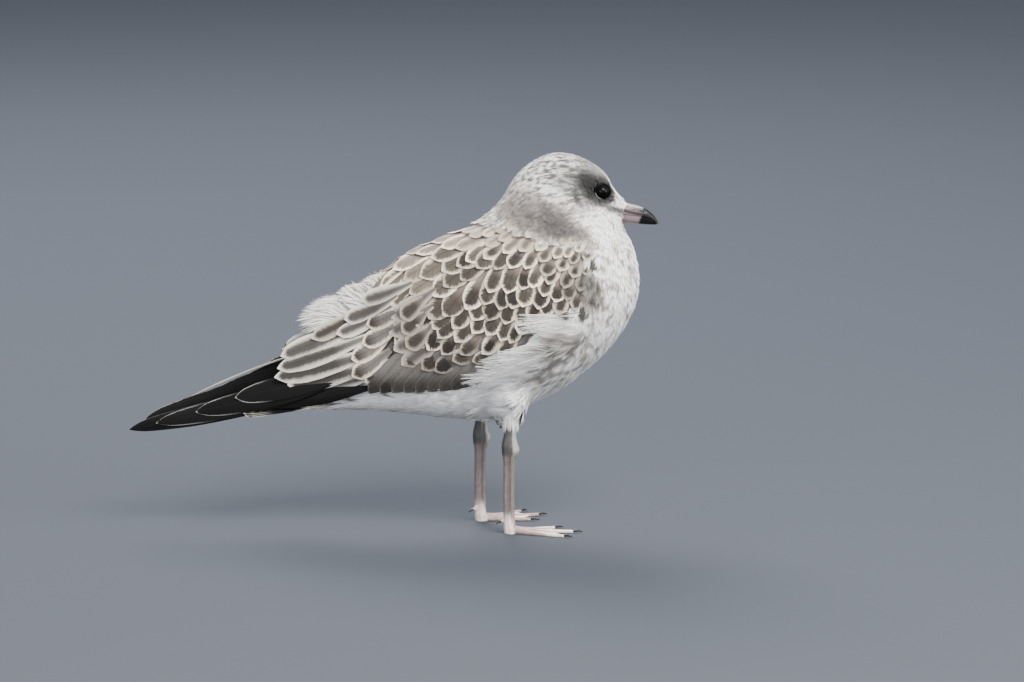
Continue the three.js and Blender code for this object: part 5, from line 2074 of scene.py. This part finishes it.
@dataclass
class Wing:
    """One folded wing's long feathers: flight feathers, tertials and coverts."""

    side: int
    word: str

    def build(self) -> None:
        """Lays the wing from its lowest feathers up."""
        word = self.word
        blade = Sheet(self._surface(f"primaries_{word}"), self.side, (-270, 66), (-94, 134))
        plate = self._surface("trunk", f"wing_{word}", f"tertials_{word}")
        plate = Sheet(plate, self.side, (-166, 96), (60, 186))
        flight = Quills(f"flight_feathers_{word}", "flight_black", FLIGHT, blade, FLIGHT_FORM)
        primaries = NEAR_PRIMARIES if self.side < 0 else FAR_PRIMARIES
        flight.build(self._tucked(primaries, 3.2), f"primaries_{word}")
        if self.side > 0:
            lining = Quills("flight_linings", "flight_black", FLIGHT, blade, FLIGHT_FORM, facing=-1)
            lining.build(self._tucked(LININGS, -4.0))
        tertials = Quills(f"tertial_feathers_{word}", "coat_tertial", LONG, plate, LONG_FORM)
        tertials.build(self._tucked(TERTIALS, 2.4), f"tertials_{word}")
        for name, finish, rows in (("tipped", TIPPED, tipped_coverts()), ("covert", LONG, coverts())):
            group = Quills(f"{name}_feathers_{word}", "coat_wing", finish, plate, LONG_FORM)
            group.build(self._tucked(rows, 2.0))

    @staticmethod
    def _tucked(quills: Sequence[Quill], deep: float) -> list[Quill]:
        """The same feathers, lowered so that the top ones lie on the surface."""
        return [replace(quill, level=quill.level - deep) for quill in quills]

    @staticmethod
    def _surface(*nodes: str) -> Surface:
        """The solids' own form, to read how far out it lies."""
        copy = copied("probe", *nodes)
        surface = Surface(*arrays_of(copy))
        bpy.data.objects.remove(copy)
        return surface


@dataclass
class Tail:
    """The tail's flight feathers, fanned a little, and white with a black band."""

    pairs: int = 6
    root: Place = (-116.0, 3.0, 92.0)
    tip: Place = (-188.5, 2.0, 84.2)
    spread: float = 17.0
    width: float = 11.0
    band_from: float = -141.0
    white: str = "#dcdad6"
    black: str = "#232222"

    def build(self) -> None:
        """Lays the feathers from the outermost, which is lowest, to the middle pair."""
        rng = np.random.default_rng(SEED + 70)
        coat = Coat("tail_feathers", "flight_black", FLIGHT)
        form = replace(LONG_FORM, root_width=0.7, widest=0.8, camber=0.4)
        shares = np.linspace(0, 1, 8)[:, None]
        for pair, side in product(range(self.pairs), (-1, 1)):
            fan = 1 - pair / (self.pairs - 1)
            start = np.array(self.root) * (1, 0, 1) + (0, side * (self.root[1] + 4 * fan), -1.2 * fan)
            end = np.array(self.tip) * (1, 0, 1)
            end += (6 * fan, side * (self.tip[1] + self.spread * fan), -1.4 * fan)
            spine = start + (end - start) * shares
            length, half = np.linalg.norm(end - start), self.width / 2
            up, out = (np.tile(v, (1, len(spine), 1)) for v in ((0.1, 0.0, 1.0), (0.0, 1.0, 0.0)))
            growth = Growth(spine[None], up, out, self.width, layer=0.25 * pair)
            pattern = form.pattern(rng)
            x = growth.laid(pattern)[0][0, :, 0]
            dark = eased(self.band_from + 3, self.band_from - 3, x + 0.12 * abs(end[1]))
            band = mixed(ink(self.white), ink(self.black), dark)[None]
            trim = np.array([[0.5 / half, length / half / 10, 0.5]])
            coat.add(pattern, growth, Ink=band, Fringe=ink(self.white)[None], Trim=trim)
        coat.made("tail")


# ---- Down and loose tufts ----


@dataclass(frozen=True)
class Lobe:
    """One fan of loose down: its root and the places of its tips seen from the side."""

    root: Spot
    tips: tuple[Spot, ...]
    count: int
    half_wide: float = 7.0


@dataclass
class Down:
    """The loose white down that stands over the lower back."""

    lobes: tuple[Lobe, ...] = (
        Lobe((-96, 157), ((-119, 160), (-123, 168), (-115, 175), (-103, 176)), 1100),
        Lobe((-107, 149), ((-145, 138), (-149, 148), (-144, 158), (-133, 165), (-119, 167)), 1600),
        Lobe((-84, 164), ((-106, 175), (-98, 181), (-88, 185)), 650),
    )
    width: float = 0.9
    colour: str = "#dcdbd9"

    def build(self) -> None:
        """Fans thin strands out from each lobe's root."""
        rng = np.random.default_rng(SEED + 80)
        coat = Coat("down_strands", "coat_body", DOWN)
        for lobe in self.lobes:
            growth = self._fan(lobe, rng)
            kinds = rng.integers(0, 3, len(growth))
            tint = np.tile(ink(self.colour), (len(growth), 1))
            tint *= rng.uniform(0.9, 1.0, (len(growth), 1))
            coat.add_kinds([plume(2, rng, 0.12, 0.1) for _ in range(3)], kinds, growth, Ink=tint)
        coat.made("down")

    def _fan(self, lobe: Lobe, rng: Rng) -> Growth:
        """Strands from one root, each arched up and over to its tip."""
        count = lobe.count
        knots = np.array(lobe.tips, float)
        at = rng.random(count) * (len(knots) - 1)
        tips = np.stack([np.interp(at, np.arange(len(knots)), knots[:, k]) for k in (0, 1)], 1)
        start = np.array(lobe.root) + rng.normal(0, 3.2, (count, 2))
        reach = rng.uniform(0.72, 1.0, (count, 1))
        tips = start + (tips - start) * reach
        y_root = rng.uniform(-1, 1, count) * lobe.half_wide * 0.55
        y_tip = y_root * 1.9 + rng.normal(0, 1.0, count)
        t = np.linspace(0, 1, 5)
        arch = rng.uniform(0.5, 3.2, count)[:, None] * 4 * t * (1 - t)
        x = start[:, :1] + (tips[:, :1] - start[:, :1]) * t
        z = start[:, 1:] + (tips[:, 1:] - start[:, 1:]) * t + arch
        y = y_root[:, None] + (y_tip - y_root)[:, None] * t
        spine = np.stack([x, y, z], 2)
        run = unit(np.gradient(spine, axis=1))
        out = np.stack([0 * y, np.sign(y_tip)[:, None] + 0 * y, 0.6 + 0 * y], 2)
        side = unit(np.cross(run, unit(out)))
        return Growth(spine, unit(np.cross(side, run)), side, self.width * rng.uniform(0.7, 1.3, count))


@dataclass(frozen=True)
class Tuft:
    """Long loose flank feathers that lap up over the wing's lower edge."""

    roots: tuple[Spot, ...]
    tips: tuple[Spot, ...]
    count: int
    lift: float


TUFTS = (
    Tuft(((66, 162), (56, 142)), ((5, 160), (25, 138)), 18, 4.2),
    Tuft(((46, 144), (37, 124)), ((-14, 132), (-22, 120)), 18, 3.8),
    Tuft(((28, 124), (14, 109)), ((-34, 120), (-24, 107)), 15, 3.6),
    Tuft(((60, 154), (46, 136)), ((26, 152), (20, 132)), 14, 2.6),
    Tuft(((36, 130), (24, 114)), ((-6, 126), (-8, 111)), 12, 2.6),
)


@dataclass
class FlankTufts:
    """The frayed white feathers of the flanks."""

    surface: Surface
    width: float = 9.5
    fingers: int = 13

    def build(self, side: int, word: str) -> None:
        """Lays every tuft on one side."""
        rng = np.random.default_rng(SEED + 90 + side)
        coat = Coat(f"flank_tufts_{word}", "coat_body", SOFT)
        for tuft in TUFTS:
            growth = self._fan(tuft, side, rng)
            kinds = rng.integers(0, 3, len(growth))
            forms = [plume(self.fingers, rng, 0.34, 0.3, split=0.5) for _ in range(3)]
            coat.add_kinds(forms, kinds, growth)
        coat.made()

    def _fan(self, tuft: Tuft, side: int, rng: Rng) -> Growth:
        """Spines that run over the flank and wing from the roots to the tips."""
        share = rng.random(tuft.count)
        ends = []
        for (x0, z0), (x1, z1) in (tuft.roots, tuft.tips):
            ends.append(np.stack([x0 + (x1 - x0) * share, z0 + (z1 - z0) * share], 1))
        start, end = ends
        start = start + rng.normal(0, 1.6, start.shape)
        end = start + (end - start) * rng.uniform(0.6, 1.06, (tuft.count, 1))
        t = np.linspace(0, 1, 7)
        x = start[:, :1] + (end[:, :1] - start[:, :1]) * t
        bend = rng.normal(-1.0, 4.2, (tuft.count, 1)) * t**3
        z = start[:, 1:] + (end[:, 1:] - start[:, 1:]) * t - 8.4 * t * (1 - t) + bend
        y = self.surface.sideways(x.ravel(), z.ravel(), side).reshape(x.shape)
        y = np.where(np.isnan(y), 30.0 * side, y)
        spine, normal = self.surface.nearest(np.stack([x, y, z], 2).reshape(-1, 3))
        spine, normal = spine.reshape(*x.shape, 3), normal.reshape(*x.shape, 3)
        run = unit(np.gradient(spine, axis=1))
        width = self.width * rng.uniform(0.8, 1.2, tuft.count)
        lift = tuft.lift * rng.uniform(0.4, 1.0, tuft.count)
        layer = rng.uniform(0.0, 0.8, tuft.count)
        return Growth(spine, normal, unit(np.cross(run, normal)), width, 2.0, lift, layer)


# ---- Bill, eyes and claws ----


@dataclass(frozen=True)
class Station:
    """One section of a mandible: its place along X, its far and mouth heights and its half width."""

    x: float
    far: float
    edge: float
    half: float


def sections(*rows: tuple[float, float, float, float]) -> tuple[Station, ...]:
    """A mandible's sections from its base to its tip."""
    return tuple(Station(*row) for row in rows)


@dataclass(frozen=True)
class Mandible:
    """One half of the bill, drawn out section by section from its base."""

    name: str
    stations: tuple[Station, ...]
    inner: float = 0.14  # how far the mouth side bulges, over the outer side
    sides: int = 20

    def build(self) -> Thing:
        """Extrudes a rounded section from station to station and smooths it."""
        first = self.stations[0]
        centre = self._centre(first)
        bpy.ops.object.select_all(action="DESELECT")
        bpy.ops.mesh.primitive_circle_add(
            vertices=self.sides, radius=MM, fill_type="NGON", location=centre, rotation=(0, math.pi / 2, 0)
        )
        thing = bpy.context.object
        thing.name = self.name
        bpy.ops.object.transform_apply(location=True, rotation=True, scale=True)
        with opened(thing):
            tall = abs(first.far - first.edge)
            bpy.ops.transform.resize(value=(1, first.half, tall), center_override=centre)
            for last, now in zip(self.stations, self.stations[1:]):
                last_centre, centre = centre, self._centre(now)
                bpy.ops.mesh.extrude_region_move()
                bpy.ops.transform.translate(value=Vector(centre) - Vector(last_centre))
                taller = abs(now.far - now.edge) / abs(last.far - last.edge)
                bpy.ops.transform.resize(value=(1, now.half / last.half, taller), center_override=centre)
        self._flattened(thing)
        modified(thing, "SUBSURF", levels=2, render_levels=2)
        with opened(thing):
            bpy.ops.mesh.normals_make_consistent(inside=False)
        return thing

    @staticmethod
    def _centre(station: Station) -> Place:
        """The middle of a section's mouth edge, in the model's frame."""
        place = STANCE.to_model(np.array([station.x, 0.0, station.edge]))
        return tuple(float(v) for v in place)

    def _flattened(self, thing: Thing) -> None:
        """Presses the mouth side of every section nearly flat."""
        places, _ = arrays_of(thing)
        edge = np.interp(places[:, 0], [s.x for s in self.stations], [s.edge for s in self.stations])
        outward = np.sign(self.stations[0].far - self.stations[0].edge)
        over = (places[:, 2] - edge) * outward
        places[:, 2] = edge + np.where(over < 0, over * self.inner, over) * outward
        moved(thing, places)


@dataclass
class Bill:
    """The short straight bill of a young gull with its slit nostrils."""

    upper: Mandible = Mandible(
        "bill_upper_sheath",
        sections(
            (77.0, 231.2, 224.3, 5.4), (83.5, 230.4, 223.6, 5.1), (88.9, 229.2, 222.7, 4.4),
            (92.7, 228.0, 222.1, 3.9), (96.7, 226.5, 221.2, 3.3), (100.2, 223.7, 219.8, 2.6),
            (102.9, 220.6, 218.0, 1.8), (104.5, 217.6, 216.4, 1.1), (105.1, 216.4, 215.8, 0.6),
        ),
    )  # fmt: skip
    lower: Mandible = Mandible(
        "bill_lower_sheath",
        sections(
            (77.0, 216.6, 223.9, 4.6), (83.0, 216.3, 223.2, 4.4), (88.9, 216.2, 222.3, 3.7),
            (92.0, 215.8, 221.8, 3.3), (96.7, 215.5, 220.6, 2.6), (100.2, 215.4, 219.0, 2.0),
            (102.9, 215.4, 217.4, 1.3), (104.0, 215.6, 216.4, 0.7),
        ),
    )  # fmt: skip
    nostril: Spot = (92.9, 225.3)
    groove: Spot = (88.0, 226.4)  # where the groove starts to fall
    groove_fall: float = 0.22
    groove_deep: float = 0.5
    groove_half: float = 0.8  # half its height
    slit: Spot = (1.5, 0.6)  # half its length and height
    slope: float = -0.35  # of the slit, in radians

    def build(self) -> None:
        """Makes both halves and cuts the nostrils."""
        top = self.upper.build()
        places, _ = arrays_of(top)
        self._grooved(top, places)
        self._nostrils(top)
        for thing, node in ((top, "bill_upper"), (self.lower.build(), "bill_lower")):
            thing.data.materials.append(BILL.material())
            thing.data.shade_smooth()
            settle(thing, "bill_horn", node)

    def _grooved(self, top: Thing, places: Array) -> None:
        """Presses a shallow groove into both sides, from the base forwards past the nostril."""
        x, y, z = places.T
        line = self.groove[1] - self.groove_fall * np.maximum(x - self.groove[0], 0)
        groove = self.groove_deep * np.exp(-(((z - line) / self.groove_half) ** 2))
        groove *= eased(83, 87, x) * eased(98, 93, x)
        places[:, 1] -= np.sign(y) * groove * (np.abs(y) > 0.5)
        moved(top, places)

    def _nostrils(self, top: Thing) -> None:
        """Cuts a slit through the horn on both sides."""
        x, z = self.nostril
        bpy.ops.object.select_all(action="DESELECT")
        bpy.ops.mesh.primitive_uv_sphere_add(segments=24, ring_count=12, radius=MM)
        cutter = bpy.context.object
        places, _ = arrays_of(cutter)
        places = places + STANCE.shift
        places = places * (self.slit[0], 8.0, self.slit[1])
        turn = np.array([[math.cos(self.slope), 0, math.sin(self.slope)], [0, 1, 0],
                         [-math.sin(self.slope), 0, math.cos(self.slope)]])  # fmt: skip
        moved(cutter, places @ turn + (x, 0, z))
        modified(top, "BOOLEAN", operation="DIFFERENCE", solver="EXACT", object=cutter)
        bpy.data.objects.remove(cutter)


@dataclass
class Eyes:
    """Two dark wet eyes, each a ball with the cornea's bulge."""

    surface: Surface
    cornea: float = 3.9
    bulge: float = 0.35

    def build(self) -> None:
        """Makes the eye on each side."""
        for side, word in ((-1, "right"), (1, "left")):
            self._eye(side, word)

    def _eye(self, side: int, word: str) -> None:
        """Turns a ball to its gaze and swells its cornea."""
        bpy.ops.object.select_all(action="DESELECT")
        bpy.ops.mesh.primitive_uv_sphere_add(segments=64, ring_count=32, radius=EYE.radius * MM)
        ball = bpy.context.object
        ball.name = f"eyeball_{word}"
        local = arrays_of(ball)[0] + STANCE.shift
        out = gaze(self.surface, side)
        forward = unit(np.array([1.0, 0, 0]) - out * out[0])
        up = np.cross(out, forward)
        off = np.linalg.norm(local[:, :2], axis=1)
        front = local[:, 2] > 0
        local[:, 2] += np.where(front, self.bulge * np.maximum(1 - (off / self.cornea) ** 2, 0), 0)
        middle = np.array([EYE.x, EYE.y * side, EYE.z])
        places = middle + local[:, :1] * forward + local[:, 1:2] * up + local[:, 2:] * out
        moved(ball, places)
        with opened(ball):
            bpy.ops.mesh.normals_make_consistent(inside=False)
        layer = ball.data.attributes.new("Gaze", "FLOAT", "POINT")
        layer.data.foreach_set("value", np.where(front, off, EYE.radius).astype(np.float32))
        ball.data.materials.append(EYE_WET.material())
        ball.data.shade_smooth()
        settle(ball, "eye_dark", f"eye_{word}")


@dataclass
class Claws:
    """The claws of one foot, rounded from their solids."""

    word: str
    toes: tuple[str, ...] = ("inner", "middle", "outer", "hind")

    def build(self) -> None:
        """Copies and smooths the solids."""
        nodes = [f"claw_{self.word}_{toe}" for toe in self.toes]
        claws = copied(f"claws_{self.word}", *nodes)
        modified(claws, "SUBSURF", levels=2, render_levels=2)
        claws.data.materials.append(CLAW.material())
        claws.data.shade_smooth()
        settle(claws, "claw_horn", *nodes)


# ---- Studio ----


@dataclass(frozen=True)
class Lamp:
    """A soft rectangular light that looks at the gull."""

    name: str
    place: Place
    size: float
    watts: float
    tint: Place = (1.0, 1.0, 1.0)


@dataclass
class Studio:
    """A plain floor, soft light from all round and the camera. Distances are in metres."""

    distance: float = 3.98
    elevation: float = 10.0
    lens: float = 200.0
    aim: Place = (2.8, 0.0, 133.0)  # in gull millimetres
    sensor: float = 36.0
    floor_size: float = 24.0
    floor_gap: float = 0.0001  # from the floor to the soles
    sky: tuple[float, float, float, float] = (0.58, 0.62, 0.68, 1.0)
    sky_strength: float = 1.75
    lamps: tuple[Lamp, ...] = (
        Lamp("key", (0.9, -1.5, 2.1), 1.2, 215.0, (1.0, 0.96, 0.89)),
        Lamp("fill", (-0.8, -2.4, 0.5), 1.8, 70.0, (0.91, 0.93, 1.0)),
        Lamp("rim", (-0.5, 1.8, 2.0), 1.4, 150.0),
        Lamp("front", (2.2, -0.9, 0.8), 1.4, 80.0),
    )

    def build(self) -> None:
        """Sets the floor, the lights and the camera."""
        target = Vector(STANCE.to_model(np.array(self.aim)))
        self._floor()
        self._sky()
        for lamp in self.lamps:
            self._lamp(lamp, target)
        rise = math.radians(self.elevation)
        place = target + Vector((0, -math.cos(rise), math.sin(rise))) * self.distance
        data = bpy.data.cameras.new("Camera")
        data.lens, data.sensor_width = self.lens, self.sensor
        camera = bpy.data.objects.new("Camera", data)
        camera.location = place
        camera.rotation_euler = (target - place).to_track_quat("-Z", "Y").to_euler()
        bpy.context.scene.collection.objects.link(camera)
        bpy.context.scene.camera = camera

    def _floor(self) -> None:
        """A wide plain floor just under the soles."""
        bpy.ops.object.select_all(action="DESELECT")
        bpy.ops.mesh.primitive_plane_add(size=self.floor_size, location=(0, 0, -self.floor_gap))
        floor = bpy.context.object
        floor.name = "studio_floor"
        bpy.ops.object.transform_apply(location=True)
        floor.data.materials.append(FLOOR.material())

    def _sky(self) -> None:
        """Even light from everywhere."""
        world = bpy.data.worlds.new("Studio air")
        bpy.context.scene.world = world
        world.use_nodes = True
        background = world.node_tree.nodes["Background"]
        background.inputs["Color"].default_value = self.sky
        background.inputs["Strength"].default_value = self.sky_strength

    @staticmethod
    def _lamp(lamp: Lamp, target: Vector) -> None:
        """Hangs one light."""
        data = bpy.data.lights.new(lamp.name, "AREA")
        data.energy, data.size, data.color = lamp.watts, lamp.size, lamp.tint
        light = bpy.data.objects.new(lamp.name, data)
        light.location = lamp.place
        light.rotation_euler = (target - Vector(lamp.place)).to_track_quat("-Z", "Y").to_euler()
        bpy.context.scene.collection.objects.link(light)


def main() -> None:
    """Builds the gull from the skin out, then the studio, and notes the sizes."""
    logging.basicConfig(level=logging.INFO, format="%(name)s %(message)s")
    body = Body()
    form = body.outer()
    surface = Surface(*arrays_of(form))
    body.skin(form, surface)
    SoftPlumage(surface).build()
    Scales(surface).build()
    for side, word in ((-1, "right"), (1, "left")):
        Wing(side, word).build()
        FlankTufts(surface).build(side, word)
        Claws(word).build()
    Tail().build()
    Down().build()
    Bill().build()
    BillRim().build()
    ThighCuffs().build()
    Eyes(surface).build()
    Studio().build()


if __name__ == "__main__":
    main()
